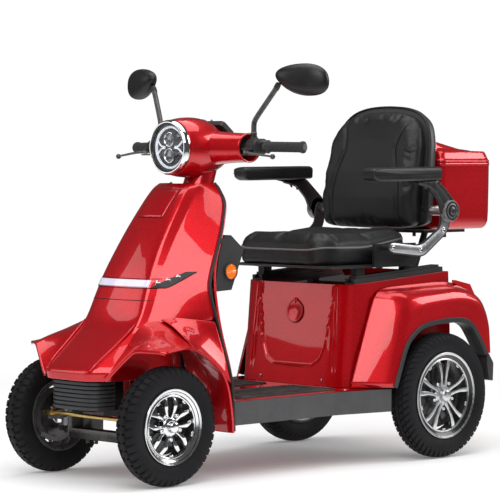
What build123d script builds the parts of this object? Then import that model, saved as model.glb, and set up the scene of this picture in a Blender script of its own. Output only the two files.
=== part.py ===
from build123d import *
import math
import os

os.makedirs("parts", exist_ok=True)

# ------------------------------------------------------------------ driving dimensions, mm
# Frame: +Z up, the scooter faces -Y, the rider's left hand is +X, and the wheels stand on Z = 0.
WHEELBASE = 1140.0
FRONT_AXLE_Y = -692.0
REAR_AXLE_Y = FRONT_AXLE_Y + WHEELBASE
FRONT_WHEEL_X = 260.0
REAR_WHEEL_X = 330.0
FRONT_TYRE_R = 181.0
REAR_TYRE_R = 205.0
WALL = 4.0                      # moulded body panels
GAP = 1.0                       # joint line between neighbouring pieces
RUNNING = 0.05                  # radial clearance of every turning fit

FLOOR_Z = 243.0
FLOOR_HALF = 296.0
FLOOR_FRONT_Y = -452.0
FLOOR_BACK_Y = 92.0

STEER_RAKE = 20.0               # steering axis leans back from the vertical, degrees
STEER_POINT = (0.0, -307.0, 930.0)
KINGPIN_X = 200.0
KINGPIN_R = 8.0
STEER_ARM = 70.0                # kingpin to tie-rod stud
TIE_ROD_Z = 196.0

SHIELD_TOP_Z = 902.0
SEAT_TOP_FRONT_Z = 573.0        # seat box top at its front edge
SEAT_TOP_RISE = 31.0            # and how much higher its rear edge is
BOX_FRONT_Y = 128.0
BOX_BACK_Y = 586.0
TOP_SLOPE = math.degrees(math.atan2(SEAT_TOP_RISE, BOX_BACK_Y - BOX_FRONT_Y))

RECLINER_Y = 527.0
RECLINER_Z = 806.0
RECLINER_X = 290.0

BAR_Z = 1014.0
LAMP_Y = -444.0
GRIP_START = (259.0, -269.0, 1016.0)
GRIP_END = (390.0, -232.0, 1014.0)

SIDES = {"left": 1, "right": -1}


def save(piece, name):
    """Writes one finished piece under its node name."""
    piece.label = name
    export_step(piece, f"parts/{name}.step")


def both_sides(half):
    """Closed outline, symmetric about x = 0, from its +x half listed front to back."""
    return half + [(-x, y) for x, y in reversed(half) if x != 0]


def section_loft(sections):
    """Solid through closed outlines, each drawn on its own plane, with ruled sides."""
    with BuildPart() as body:
        for plane, points in sections:
            with BuildSketch(plane):
                Polygon(*points, align=None)
        loft(ruled=True)
    return body.part


def rod(start, end, radius):
    """Round bar from one point to another."""
    direction = Vector(*end) - Vector(*start)
    with BuildPart() as bar:
        with BuildSketch(Plane(origin=start, z_dir=direction)):
            Circle(radius)
        extrude(amount=direction.length)
    return bar.part


def bent_rod(points, radius):
    """Round bar through several points, with a ball at every inner corner."""
    with BuildPart() as bar:
        for start, end in zip(points, points[1:]):
            add(rod(start, end, radius))
        for corner in points[1:-1]:
            with Locations(corner):
                Sphere(radius)
    return bar.part


def block(corner, opposite):
    """Rectangular block between two opposite corners."""
    size = [abs(b - a) for a, b in zip(corner, opposite)]
    middle = tuple((a + b) / 2 for a, b in zip(corner, opposite))
    with BuildPart() as brick:
        with Locations(middle):
            Box(*size)
    return brick.part


def joined(*pieces):
    """One piece welded from several."""
    with BuildPart() as whole:
        for piece in pieces:
            add(piece)
    return whole.part


def cut(piece, *tools):
    """A piece with other solids taken away from it."""
    with BuildPart() as rest:
        add(piece)
        for tool in tools:
            add(tool, mode=Mode.SUBTRACT)
    return rest.part


def across(piece):
    """The same piece on the other side of the scooter."""
    return mirror(piece, about=Plane.YZ)


# ------------------------------------------------------------------ wheels
# Each outline lists (outboard offset from the wheel's middle plane, radius).
WHEELS = {
    "front": dict(x=FRONT_WHEEL_X, y=FRONT_AXLE_Y, r=FRONT_TYRE_R, flange=114.5, seat=102.0, half=34.0,
                  swell=4.0, hub=30.0, axle=10.0, disc=70.0, spoke=12.0),
    "rear": dict(x=REAR_WHEEL_X, y=REAR_AXLE_Y, r=REAR_TYRE_R, flange=140.5, seat=127.0, half=36.0,
                 swell=6.0, hub=36.0, axle=14.0, disc=78.0, spoke=15.0),
}


def turned(side, wheel, outline):
    """Ring turned about the axle from an outline of (outboard offset, radius) pairs."""
    centre = (side * wheel["x"], wheel["y"], wheel["r"])
    with BuildPart() as ring:
        with BuildSketch(Plane(origin=centre)):
            Polygon(*[(side * out, radius) for out, radius in outline], align=None)
        revolve(axis=Axis(centre, (1, 0, 0)))
    return ring.part


def tyre(side, wheel):
    """Hollow tyre: two beads on the rim, rounded sidewalls and a crowned tread."""
    top, seat, flange, half = wheel["r"], wheel["seat"] + 0.4, wheel["flange"], wheel["half"]
    bulge = half + wheel["swell"]
    mid = (flange + top) / 2
    outer = [(half - 7.6, seat), (half - 4.8, flange + 1), (bulge - 1.5, flange + 20), (bulge, mid + 2),
             (bulge - 4, top - 13), (bulge * 0.58, top - 3), (0, top)]
    inner = [(half - 16, seat), (half - 13, flange), (bulge - 10, flange + 20), (bulge - 9, mid + 2),
             (bulge - 13, top - 20), (0, top - 11)]
    outline = [(-o, r) for o, r in outer] + [(o, r) for o, r in reversed(outer[:-1])]
    outline += inner + [(-o, r) for o, r in reversed(inner[:-1])]
    return turned(side, wheel, outline)


def rim(side, wheel):
    """Wheel rim with five pairs of spokes, a hub that runs on the axle, its cap and the brake disc."""
    seat, flange, half = wheel["seat"], wheel["flange"], wheel["half"]
    barrel = turned(side, wheel, [
        (-half, flange), (-half + 4, flange), (-half + 7, seat), (half - 7, seat), (half - 4, flange),
        (half, flange), (half - 1, flange - 7), (half - 7, seat - 5), (-half + 7, seat - 5),
        (-half + 1, flange - 7)])
    bore = wheel["axle"] + RUNNING
    hub = turned(side, wheel, [
        (-24, bore), (-24, wheel["hub"]), (22, wheel["hub"]), (26, wheel["hub"] * 0.72), (40, wheel["hub"] * 0.66),
        (43, wheel["hub"] * 0.5), (43, 0), (35, 0), (35, bore + 5), (19, bore + 5), (19, bore)])
    disc = turned(side, wheel, [(-22, wheel["hub"] - 1), (-22, wheel["disc"]), (-18, wheel["disc"]),
                                (-18, wheel["hub"] - 1)])
    with BuildPart() as whole:
        add(barrel)
        add(hub)
        add(disc)
        with BuildSketch(Plane.YZ.offset(side * (wheel["x"] + 7))):
            with Locations((wheel["y"], wheel["r"])):
                with PolarLocations(0, 5, start_angle=90):
                    for lean in (-1, 1):
                        Polygon((wheel["hub"] - 4, lean * 16), (wheel["hub"] - 4, lean * 4),
                                (seat - 3, lean * (5 + wheel["spoke"] / 3)),
                                (seat - 3, lean * (5 + wheel["spoke"])), align=None)
        extrude(amount=side * 13)
    return whole.part


for side_name, side in SIDES.items():
    for wheel_name, wheel in WHEELS.items():
        save(tyre(side, wheel), f"{wheel_name}_tyre_{side_name}")
        save(rim(side, wheel), f"{wheel_name}_rim_{side_name}")

# ------------------------------------------------------------------ front axle, knuckles and tie rod
AXLE_Z = FRONT_TYRE_R
BARREL_LOW, BARREL_HIGH = 150.0, 212.0
STUB_END = FRONT_WHEEL_X + 30


def knuckle(side):
    """Knuckle on its kingpin, with the stub axle, the brake caliper and the forward steering arm."""
    x = side * KINGPIN_X
    y = FRONT_AXLE_Y
    stud_x = x - side * 12
    stud_y = y - STEER_ARM
    barrel = rod((x, y, BARREL_LOW), (x, y, BARREL_HIGH), 17)
    stub = rod((x, y, AXLE_Z), (side * STUB_END, y, AXLE_Z), 10)
    shoulder = rod((x, y, AXLE_Z), (side * (FRONT_WHEEL_X - 25), y, AXLE_Z), 15)
    with BuildPart() as arm:
        with BuildSketch(Plane.XY.offset(BARREL_HIGH - 36)):
            Polygon((x - 12, y), (x + 12, y), (stud_x + 10, stud_y - 8), (stud_x - 10, stud_y - 8), align=None)
        extrude(amount=10)
        with Locations((stud_x, stud_y, BARREL_HIGH - 16)):
            Cylinder(4, 34)
    bracket = block((x, y + 6, AXLE_Z + 4), (side * 236, y + 26, AXLE_Z + 24))
    caliper = cut(block((side * 231, y + 44, AXLE_Z + 24), (side * 252, y + 72, AXLE_Z + 60)),
                  block((side * 236, y + 40, AXLE_Z + 20), (side * 244, y + 76, AXLE_Z + 56)))
    link = block((side * 225, y + 10, AXLE_Z + 8), (side * 236, y + 50, AXLE_Z + 40))
    body = joined(barrel, stub, shoulder, arm.part, bracket, link, caliper)
    pin = rod((x, y, 0), (x, y, 400), KINGPIN_R + RUNNING)
    return cut(body, pin)


for side_name, side in SIDES.items():
    save(knuckle(side), f"steering_knuckle_{side_name}")

with BuildPart() as tie_rod:
    half_rod = KINGPIN_X - 12
    rod_y = FRONT_AXLE_Y - STEER_ARM
    add(rod((-half_rod + 16, rod_y, TIE_ROD_Z), (half_rod - 16, rod_y, TIE_ROD_Z), 6.5))
    for side in SIDES.values():
        with Locations((side * half_rod, rod_y + 2, TIE_ROD_Z)):
            Box(36, 48, 13)
            Box(18, 32, 20, mode=Mode.SUBTRACT)
save(tie_rod.part, "tie_rod")

# ------------------------------------------------------------------ chassis
RAIL_X = 120.0
RAIL_Z = 196.0
HEAD_LOW = 250.0
HEAD_HIGH = 820.0
COLUMN_R = 16.0


def steer_y(z):
    """Where the steering axis crosses a height."""
    return STEER_POINT[1] + (z - STEER_POINT[2]) * math.tan(math.radians(STEER_RAKE))


def steer_at(z):
    return (0.0, steer_y(z), z)


with BuildPart() as chassis_frame:
    for side in SIDES.values():
        add(block((side * 105, -660, RAIL_Z - 20), (side * 135, 380, RAIL_Z + 20)))
        add(block((side * 105, 350, RAIL_Z - 20), (side * 135, 380, 330)))
        add(block((side * 105, 350, 300), (side * 135, 570, 330)))
        add(bent_rod([(side * 120, 130, RAIL_Z), (side * 140, 165, 540), (side * 140, 550, 540),
                      (side * 120, 560, 315)], 14))
        add(rod((side * 120, -640, RAIL_Z), steer_at(560), 13))
        add(rod((side * 120, -482, RAIL_Z), steer_at(700), 13))
        add(block((side * 115, 380, 195), (side * 125, 420, 300)))
    for cross_y in (-400, -150, 150):
        add(block((-110, cross_y - 15, RAIL_Z - 15), (110, cross_y + 15, RAIL_Z + 15)))
    add(rod((-140, 165, 540), (140, 165, 540), 12))
    add(rod((-140, 550, 540), (140, 550, 540), 12))
    # front axle beam with a clevis for each kingpin
    add(block((-165, FRONT_AXLE_Y - 22, 116), (165, FRONT_AXLE_Y + 22, 146)))
    for side in SIDES.values():
        x = side * KINGPIN_X
        add(block((side * 150, FRONT_AXLE_Y - 20, 116), (side * 172, FRONT_AXLE_Y + 20, 228)))
        add(block((side * 150, FRONT_AXLE_Y - 18, 134), (side * 218, FRONT_AXLE_Y + 18, 148)))
        add(block((side * 150, FRONT_AXLE_Y - 18, 214), (side * 218, FRONT_AXLE_Y + 18, 228)))
        add(rod((x, FRONT_AXLE_Y, 126), (x, FRONT_AXLE_Y, 236), KINGPIN_R))
        add(block((side * 96, FRONT_AXLE_Y + 10, 118), (side * 135, FRONT_AXLE_Y + 60, RAIL_Z)))
        for bolt_x in (60, 100):
            with Locations((side * bolt_x, FRONT_AXLE_Y, 110)):
                Cylinder(6, 16)
    # head tube
    add(rod(steer_at(HEAD_LOW), steer_at(HEAD_HIGH), 24))
    add(rod(steer_at(HEAD_LOW - 20), steer_at(HEAD_HIGH + 20), COLUMN_R + RUNNING), mode=Mode.SUBTRACT)
save(chassis_frame.part, "chassis_frame")

# ------------------------------------------------------------------ rear transaxle
with BuildPart() as rear_axle:
    for side in SIDES.values():
        add(rod((0, REAR_AXLE_Y, REAR_TYRE_R), (side * 290, REAR_AXLE_Y, REAR_TYRE_R), 24))
        add(rod((side * 280, REAR_AXLE_Y, REAR_TYRE_R), (side * (REAR_WHEEL_X + 30), REAR_AXLE_Y, REAR_TYRE_R), 14))
        add(block((side * 100, REAR_AXLE_Y - 27, 150), (side * 140, REAR_AXLE_Y + 30, 299)))
    add(rod((-50, REAR_AXLE_Y, REAR_TYRE_R), (50, REAR_AXLE_Y, REAR_TYRE_R), 72))
    add(rod((0, REAR_AXLE_Y, 200), (0, 200, 200), 55))
save(rear_axle.part, "rear_axle")

# ------------------------------------------------------------------ floor
SKIRT_LOW, SKIRT_HIGH = 168.0, 240.0
with BuildPart() as floor_board:
    add(block((-FLOOR_HALF, FLOOR_FRONT_Y, FLOOR_Z - 8), (FLOOR_HALF, FLOOR_BACK_Y, FLOOR_Z)))
    add(block((-85, FLOOR_BACK_Y - 1, FLOOR_Z - 8), (85, 130, FLOOR_Z - 3)))
    for side in SIDES.values():
        with BuildSketch(Plane.XY.offset(FLOOR_Z - 8)):
            Polygon((side * 225, FLOOR_BACK_Y - 1), (side * FLOOR_HALF, FLOOR_BACK_Y - 1), (side * 318, 195),
                    (side * 268, 195), (side * 240, 118), align=None)
        extrude(amount=8)
save(floor_board.part, "floor_board")

with BuildPart() as floor_mats:
    for side in SIDES.values():
        with BuildSketch(Plane.XY.offset(FLOOR_Z + 0.2)):
            with Locations((side * 155, -170)):
                RectangleRounded(210, 430, 24)
        extrude(amount=3)
        with BuildSketch(Plane.XY.offset(FLOOR_Z + 3.1)):
            with Locations((side * 155, -170)):
                with GridLocations(0, 36, 1, 11):
                    SlotOverall(180, 14)
        extrude(amount=2)
save(floor_mats.part, "floor_mats")

with BuildPart() as side_skirts:
    for side in SIDES.values():
        with BuildSketch(Plane.XY.offset(SKIRT_LOW)):
            Polygon((side * 297, FLOOR_FRONT_Y), (side * 303, FLOOR_FRONT_Y), (side * 303, -16), (side * 346, 205),
                    (side * 338, 212), (side * 332, 190), (side * 297, -14), align=None)
        extrude(amount=SKIRT_HIGH - SKIRT_LOW)
        add(block((side * 262, FLOOR_FRONT_Y + 4, SKIRT_LOW), (side * 299, -20, SKIRT_LOW + 4)))
save(side_skirts.part, "side_skirts")

# ------------------------------------------------------------------ front body
# Horizontal half sections of the shield: height, then centre, crease and rear edge as (x, y).
SHIELD = [
    (902, (0, -428), (70, -420), (88, -398), (100, -342)),
    (886, (0, -456), (76, -446), (94, -410), (118, -344)),
    (842, (0, -494), (82, -484), (102, -441), (165, -358)),
    (749, (0, -562), (92, -552), (113, -511), (200, -408)),
    (638, (0, -630), (104, -618), (128, -582), (228, -475)),
    (580, (0, -652), (112, -642), (136, -606), (238, -496)),
    (480, (0, -684), (122, -674), (138, -650), (262, -482)),
]
# The nose below it: centre, ridge, outer wall and the place where that wall ends inside the wheel arch.
NOSE = [
    (410, (0, -776), (112, -770), (140, -730), (143, -560)),
    (340, (0, -864), (104, -858), (146, -800), (148, -560)),
    (314, (0, -862), (102, -856), (145, -798), (147, -560)),
]
FRONT_BODY = SHIELD + NOSE
NECK_HOLE = 56.0
NECK_R = 47.0


def inset(sections, depth, reach):
    """The sections moved in by a wall's thickness; their open side reaches past the old one."""
    smaller = []
    for height, centre, shoulder, crease, edge in sections:
        smaller.append((height, (0, centre[1] + depth), (shoulder[0] - depth * 0.5, shoulder[1] + depth),
                        (crease[0] - depth, crease[1] + depth * 0.6), (edge[0] - depth, edge[1] + reach)))
    return smaller


def stacked(sections):
    """Loft through horizontal half sections."""
    return section_loft([(Plane.XY.offset(height), both_sides(list(points))) for height, *points in sections])


neck_hole = rod(steer_at(820), steer_at(1000), NECK_HOLE)
body_inside = inset(FRONT_BODY, WALL, 2)
body_inside[0] = (SHIELD_TOP_Z - WALL, *body_inside[0][1:])
body_inside[-1] = (NOSE[-1][0] - 1, *body_inside[-1][1:])
# Side profiles (y, z) of the wheel arches, from the front lip over the wheel and down behind it.
ARCH = {
    137: [(-832, 318), (-760, 392), (-690, 452), (-600, 458), (-512, 400), (-478, 300), (-466, 204), (-463, 148)],
    230: [(-794, 414), (-745, 424), (-690, 438), (-612, 436), (-514, 372), (-478, 300), (-466, 204), (-463, 148)],
    300: [(-750, 409), (-700, 411), (-650, 419), (-612, 409), (-523, 353), (-488, 291), (-471, 204), (-468, 148)],
    312: [(-744, 404), (-698, 407), (-650, 414), (-610, 404), (-521, 350), (-486, 290), (-470, 203), (-466, 148)],
}
ARCH_WALL = 6.0


def band(profile, near, far):
    """Closed outline between two offsets on the outer side of an open profile."""
    rows = []
    for offset_by in (near, far):
        row = []
        for before, point, after in zip([profile[0], *profile], profile, [*profile[1:], profile[-1]]):
            along = Vector(after[0] - before[0], after[1] - before[1]).normalized()
            row.append((point[0] - along.Y * offset_by, point[1] + along.X * offset_by))
        rows.append(row)
    return rows[0] + rows[1][::-1]


with BuildPart() as front_fairing:
    add(stacked(FRONT_BODY))
    add(stacked(body_inside), mode=Mode.SUBTRACT)
    for side in SIDES.values():
        add(section_loft([(Plane.YZ.offset(side * x), band(ARCH[x], 0, ARCH_WALL)) for x in ARCH]))
        # pillar between the arch and the shield's rear edge
        add(section_loft([
            (Plane.XY.offset(476), [(side * 200, -500), (side * 258, -530), (side * 261, -484), (side * 205, -484)]),
            (Plane.XY.offset(400), [(side * 220, -500), (side * 282, -566), (side * 276, -472), (side * 225, -472)]),
            (Plane.XY.offset(310), [(side * 240, -472), (side * 303, -492), (side * 300, -459), (side * 245, -461)]),
            (Plane.XY.offset(150), [(side * 250, -463), (side * 309, -466), (side * 310, -457), (side * 250, -458)])]))
    add(neck_hole, mode=Mode.SUBTRACT)
save(front_fairing.part, "front_fairing")

# Rider's side of the shield: the black edge trim and the panel that closes the shell around the head tube.
BACK_Y = {896: -300, 842: -276, 749: -300, 638: -344, 480: -398, 330: -424, 246: -436}


def back_sections(depth, low, high):
    """Half sections of the rear panel, moved in by a wall's thickness."""
    sections = []
    for height, back in BACK_Y.items():
        edge_x, edge_y = shield_edge(height)
        sections.append((min(max(height, low), high), (0, edge_y + GAP - 4 * (depth > 0)),
                         (edge_x - depth, edge_y + GAP - 4 * (depth > 0)), (edge_x - depth, edge_y + 14 - depth),
                         (edge_x * 0.62 - depth, (edge_y + back) / 2 + 12 - depth), (62 - depth, back - depth)))
    return sections


def shield_edge(height):
    """The shield's rear edge at a height, between its sections and down to the floor."""
    rows = [(row[0], row[4]) for row in SHIELD] + [(246, (302, -458))]
    for (high, top), (low, bottom) in zip(rows, rows[1:]):
        if low <= height <= high:
            t = (high - height) / (high - low)
            return top[0] + t * (bottom[0] - top[0]), top[1] + t * (bottom[1] - top[1])
    return rows[0][1]


with BuildPart() as inner_shield:
    add(stacked(back_sections(0, 246, 896)))
    add(stacked(back_sections(WALL, 240, 891)), mode=Mode.SUBTRACT)
    add(neck_hole, mode=Mode.SUBTRACT)
    add(rod(steer_at(HEAD_LOW - 60), steer_at(HEAD_HIGH + 40), 40), mode=Mode.SUBTRACT)
    add(front_fairing.part, mode=Mode.SUBTRACT)
save(inner_shield.part, "inner_shield")

with BuildPart() as side_pods:
    for side in SIDES.values():
        with BuildSketch(Plane.YZ.offset(side * 150)):
            Polygon((-440, 572), (-372, 575), (-319, 699), (-374, 744), (-420, 730), align=None)
        extrude(amount=side * 58)
    add(stacked(back_sections(0, 246, 896)), mode=Mode.SUBTRACT)
    add(front_fairing.part, mode=Mode.SUBTRACT)
save(side_pods.part, "side_pods")

REFLECTOR_POS = (209.0, -378.0, 632.0)
with BuildPart() as side_reflectors:
    for side in SIDES.values():
        add(rod((side * 208.3, *REFLECTOR_POS[1:]), (side * 216, *REFLECTOR_POS[1:]), 27))
save(side_reflectors.part, "side_reflectors")

# Light bar across the shield with an angular lamp cluster at each end.
LAMP_PROUD = 3.0


def on_shield(region):
    """Thin piece that stands proud of the shield's skin inside a region."""
    with BuildPart() as strip:
        add(stacked(inset(SHIELD, -LAMP_PROUD, 0)))
        add(region, mode=Mode.INTERSECT)
        add(stacked(SHIELD), mode=Mode.SUBTRACT)
    return strip.part


def slab(outline, start_y, depth):
    """Outline in (x, z) drawn on a plane that faces forward and extruded forward."""
    with BuildPart() as plate:
        with BuildSketch(Plane.XZ.offset(-start_y)):
            Polygon(*outline, align=None)
        extrude(amount=depth)
    return plate.part


LIGHT_LOW, LIGHT_HIGH = 588.0, 611.0
light_bar = on_shield(block((-112, -720, LIGHT_LOW), (112, -600, LIGHT_HIGH)))
cluster = on_shield(slab([(112.5, LIGHT_LOW - 2), (112.5, LIGHT_HIGH + 1), (196, 640), (184, 612), (150, 592)],
                         -440, 260))
save(joined(light_bar, cluster, across(cluster)), "front_lamps")

GRILLE_LOW, GRILLE_HIGH = 221.0, 312.5
with BuildPart() as nose_grille:
    add(section_loft([
        (Plane.XY.offset(GRILLE_LOW), both_sides([(0, -838), (70, -834), (112, -816), (116, -790), (104, -760), (0, -760)])),
        (Plane.XY.offset(GRILLE_HIGH), both_sides([(0, -841), (72, -838), (118, -818), (121, -790), (108, -750), (0, -750)]))]))
    with Locations((0, -780, (GRILLE_LOW + GRILLE_HIGH) / 2 + 8)):
        Box(200, 70, GRILLE_HIGH - GRILLE_LOW, mode=Mode.SUBTRACT)
save(nose_grille.part, "nose_grille")

# ------------------------------------------------------------------ seat box and rear fenders
SEAT_BOX_LOW = FLOOR_Z + GAP


def top_z(y):
    """Height of the seat box's sloping top."""
    return SEAT_TOP_FRONT_Z + (y - BOX_FRONT_Y) * math.tan(math.radians(TOP_SLOPE))


def side_slab(outline, x0, x1):
    """Outline in (y, z) extruded from one x to another."""
    with BuildPart() as plate:
        with BuildSketch(Plane.YZ.offset(x0)):
            Polygon(*outline, align=None)
        extrude(amount=x1 - x0)
    return plate.part


def seat_box_loft(depth):
    """The seat box's outer form, or its hollow when moved in by a depth."""
    low = [(0, 90 + depth), (150, 93 + depth), (226 - depth, 102 + depth), (246 - depth, 122 + depth),
           (264 - depth, 200), (264 - depth, BOX_BACK_Y - depth), (0, BOX_BACK_Y - depth)]
    high = [(0, 124 + depth), (150, 126 + depth), (204 - depth, 131 + depth), (238 - depth, 144 + depth),
            (252 - depth, 200), (250 - depth, BOX_BACK_Y - depth), (0, BOX_BACK_Y - depth)]
    above = side_slab([(40, top_z(40) - depth), (640, top_z(640) - depth), (640, 720), (40, 720)], -300, 300)
    return cut(section_loft([(Plane.XY.offset(SEAT_BOX_LOW - depth), both_sides(low)),
                             (Plane.XY.offset(610), both_sides(high))]), above)


BOX_FRONT = Plane(origin=(0, 90, SEAT_BOX_LOW), x_dir=(1, 0, 0), z_dir=(0, -366, 34))
PANEL_DEPTH = 2.6
FLAP_HEIGHT = 236.0
FLAP_R = 36.0
with BuildPart() as seat_box:
    add(seat_box_loft(0))
    add(seat_box_loft(WALL), mode=Mode.SUBTRACT)
    with BuildSketch(BOX_FRONT.offset(8)):
        Polygon((-158, 360), (158, 360), (128, 110), (108, 72), (80, 58), (-80, 58), (-108, 72), (-128, 110),
                align=None)
    extrude(amount=-PANEL_DEPTH - 8, mode=Mode.SUBTRACT)
save(seat_box.part, "seat_box")

with BuildPart() as charge_flap:
    with BuildSketch(BOX_FRONT.offset(0.3 - PANEL_DEPTH)):
        with Locations((0, FLAP_HEIGHT)):
            Circle(FLAP_R)
        with Locations((0, FLAP_HEIGHT + FLAP_R)):
            Circle(9)
    extrude(amount=2)
    with BuildSketch(BOX_FRONT.offset(1.6 - PANEL_DEPTH)):
        with Locations((0, FLAP_HEIGHT + FLAP_R)):
            Circle(5)
    extrude(amount=4)
save(charge_flap.part, "charge_flap")

# Side profiles (y, z) of the rear fender at three stations out from the seat box.
FENDER = {
    265.5: [(102, 246), (204, 522), (238, 560), (560, 572), (606, 552), (664, 470), (684, 354), (686, 246)],
    304: [(140, 246), (228, 518), (268, 556), (560, 566), (622, 536), (676, 460), (685, 354), (686, 246)],
    340: [(176, 246), (262, 500), (302, 532), (556, 548), (640, 515), (680, 440), (685, 354), (686, 246)],
    356: [(192, 246), (280, 484), (322, 512), (556, 530), (640, 500), (678, 430), (684, 354), (686, 246)],
}
REAR_ARCH = [(207, 246), (226, 318), (266, 390), (322, 436), (385, 452), (539, 455), (585, 436), (625, 386),
             (659, 331)]
ARCH_CENTRE = (445.0, 250.0)
FENDER_OUT = 356.0


def fender_loft(side, shrink):
    """Rear fender's outer form, or its hollow when drawn towards the arch centre."""
    sections = []
    for x, profile in FENDER.items():
        points = [(ARCH_CENTRE[0] + (y - ARCH_CENTRE[0]) * shrink, ARCH_CENTRE[1] + (z - ARCH_CENTRE[1]) * shrink)
                  for y, z in profile]
        station = x - (0 if shrink == 1 else WALL * (1 if x > 300 else 0.5))
        sections.append((Plane.YZ.offset(side * station), points))
    return section_loft(sections)


arch_opening = side_slab(REAR_ARCH + [(700, 331), (700, 200), (206, 200)], -400, 400)
with BuildPart() as rear_fenders:
    for side in SIDES.values():
        add(fender_loft(side, 1))
        add(fender_loft(side, 0.982), mode=Mode.SUBTRACT)
    add(arch_opening, mode=Mode.SUBTRACT)
save(rear_fenders.part, "rear_fenders")


with BuildPart() as arch_trims:
    for side in SIDES.values():
        add(side_slab(band(REAR_ARCH, -7, -1), side * 322, side * 363))
        add(side_slab(band(REAR_ARCH, -7, 11), side * 357, side * 363))
        add(side_slab([(662, 326), (690, 297), (687, 236), (666, 240), (657, 300)], side * 300, side * 363))
save(arch_trims.part, "arch_trims")

with BuildPart() as tail_lamps:
    for side in SIDES.values():
        add(cut(side_slab([(566, 470), (566, 576), (640, 560), (700, 470)], side * 284, side * 332),
                fender_loft(side, 1)))
    add(section_loft([(Plane.XY.offset(400), [(-300, 500), (300, 500), (300, 700), (-300, 700)]),
                      (Plane.XY.offset(600), [(-300, 500), (300, 500), (300, 660), (-300, 660)])]),
        mode=Mode.INTERSECT)
save(tail_lamps.part, "tail_lamps")

# ------------------------------------------------------------------ batteries and controller
with BuildPart() as battery_packs:
    for side in SIDES.values():
        add(block((side * 2, 190, 335), (side * 98, 535, 512)))
        add(block((side * 20, 200, 512), (side * 40, 220, 518)))
save(battery_packs.part, "battery_packs")

with BuildPart() as motor_controller:
    add(block((-70, 240, 519), (70, 400, 546)))
    with Locations((0, 320, 549)):
        with GridLocations(18, 0, 7, 1):
            Box(5, 150, 8)
save(motor_controller.part, "motor_controller")

# ------------------------------------------------------------------ seat rails, rack and top box
RAIL_HALF_X = 214.0
RAIL_FRONT_Y = 150.0
RAIL_LENGTH = 424.0
SLOPE = math.radians(TOP_SLOPE)
SLOPE_DIR = (0, math.cos(SLOPE), math.sin(SLOPE))


def along_slope(side, y, lift, outline, length):
    """Bar of constant section laid along the seat box's sloping top."""
    origin = (side * RAIL_HALF_X, y, top_z(y) + lift)
    with BuildPart() as bar:
        with BuildSketch(Plane(origin=origin, x_dir=(-1, 0, 0), z_dir=SLOPE_DIR)):
            Polygon(*outline, align=None)
        extrude(amount=length)
    return bar.part


RAIL_SECTION = [(-23, 0), (23, 0), (23, 15), (8, 15), (8, 10), (15, 10), (15, 4), (-15, 4), (-15, 10), (-8, 10),
                (-8, 15), (-23, 15)]
SLIDE_SECTION = [(-14.4, 4.6), (14.4, 4.6), (14.4, 9.4), (7.4, 9.4), (7.4, 15.6), (17, 15.6), (17, 23), (-17, 23),
                 (-17, 15.6), (-7.4, 15.6), (-7.4, 9.4), (-14.4, 9.4)]
with BuildPart() as seat_rails:
    for side in SIDES.values():
        add(along_slope(side, RAIL_FRONT_Y, 0.5, RAIL_SECTION, RAIL_LENGTH))
save(seat_rails.part, "seat_rails")

RACK_Z = 727.0
with BuildPart() as rear_rack:
    add(block((-125, 604, RACK_Z), (125, 812, RACK_Z + 12)))
    for side in SIDES.values():
        add(block((side * 55, BOX_BACK_Y + 0.5, 420), (side * 105, BOX_BACK_Y + 8, 520)))
        add(bent_rod([(side * 80, 600, 430), (side * 80, 602, 600), (side * 80, 660, RACK_Z + 4)], 11))
        add(rod((side * 80, 600, 470), (side * 80, BOX_BACK_Y + 4, 470), 9))
        with Locations((side * 70, 770, RACK_Z - 9)):
            Cylinder(6, 20)
save(rear_rack.part, "rear_rack")

TRUNK_LOW, TRUNK_SPLIT = RACK_Z + 12.5, 972.0
TRUNK_HALF = 200.0


def trunk_section(z, inward):
    """Outline of the top box at a height, drawn in from its largest size."""
    half = TRUNK_HALF - inward
    front, back = 608 + inward, 873 - inward
    return (Plane.XY.offset(z), [(-half + 16, front), (half - 16, front), (half, front + 16), (half, back - 22),
                                 (half - 22, back), (-half + 22, back), (-half, back - 22), (-half, front + 16)])


top_box = cut(section_loft([trunk_section(TRUNK_LOW, 22), trunk_section(TRUNK_LOW + 26, 3),
                            trunk_section(TRUNK_SPLIT - GAP, 0)]),
              section_loft([trunk_section(TRUNK_LOW + WALL, 26), trunk_section(TRUNK_LOW + 30, 7),
                            trunk_section(TRUNK_SPLIT + 5, 4)]))
save(top_box, "top_box")

RIDGE = [(622, 1000), (634, 1034), (690, 1034), (762, 1010), (836, 1004), (850, 990), (850, 985), (622, 985)]
lid_outside = joined(section_loft([trunk_section(TRUNK_SPLIT, 0), trunk_section(1002, 12)]),
                     side_slab(RIDGE, -118, 118))
lid_inside = section_loft([trunk_section(TRUNK_SPLIT - 5, 4), trunk_section(998, 16)])
save(cut(lid_outside, lid_inside), "top_box_lid")

with BuildPart() as body_screws:
    for side in SIDES.values():
        with BuildSketch(BOX_FRONT.offset(0.3)):
            with Locations((side * 140, 16)):
                Circle(5)
        extrude(amount=2.5)
        for y in (FLOOR_FRONT_Y + 16, FLOOR_BACK_Y - 40):
            with Locations((side * 285, y, FLOOR_Z + 1.4)):
                Cylinder(5, 2.4)
save(body_screws.part, "body_screws")

# ------------------------------------------------------------------ steering column, bar and cowl
BAR_R = 11.0
BAR_PATH = [(0, -278, 1008), (80, -302, 1014), (190, -288.5, 1017), GRIP_END]
GRIP_DIR = Vector(*GRIP_END) - Vector(*GRIP_START)


def mirrored_path(points, side):
    return [(side * x, y, z) for x, y, z in points]


def along_grip(side, distance):
    """Point on the bar's axis, measured outwards from the grip's inner end."""
    point = Vector(*GRIP_START) + GRIP_DIR.normalized() * distance
    return (side * point.X, point.Y, point.Z)


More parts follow.
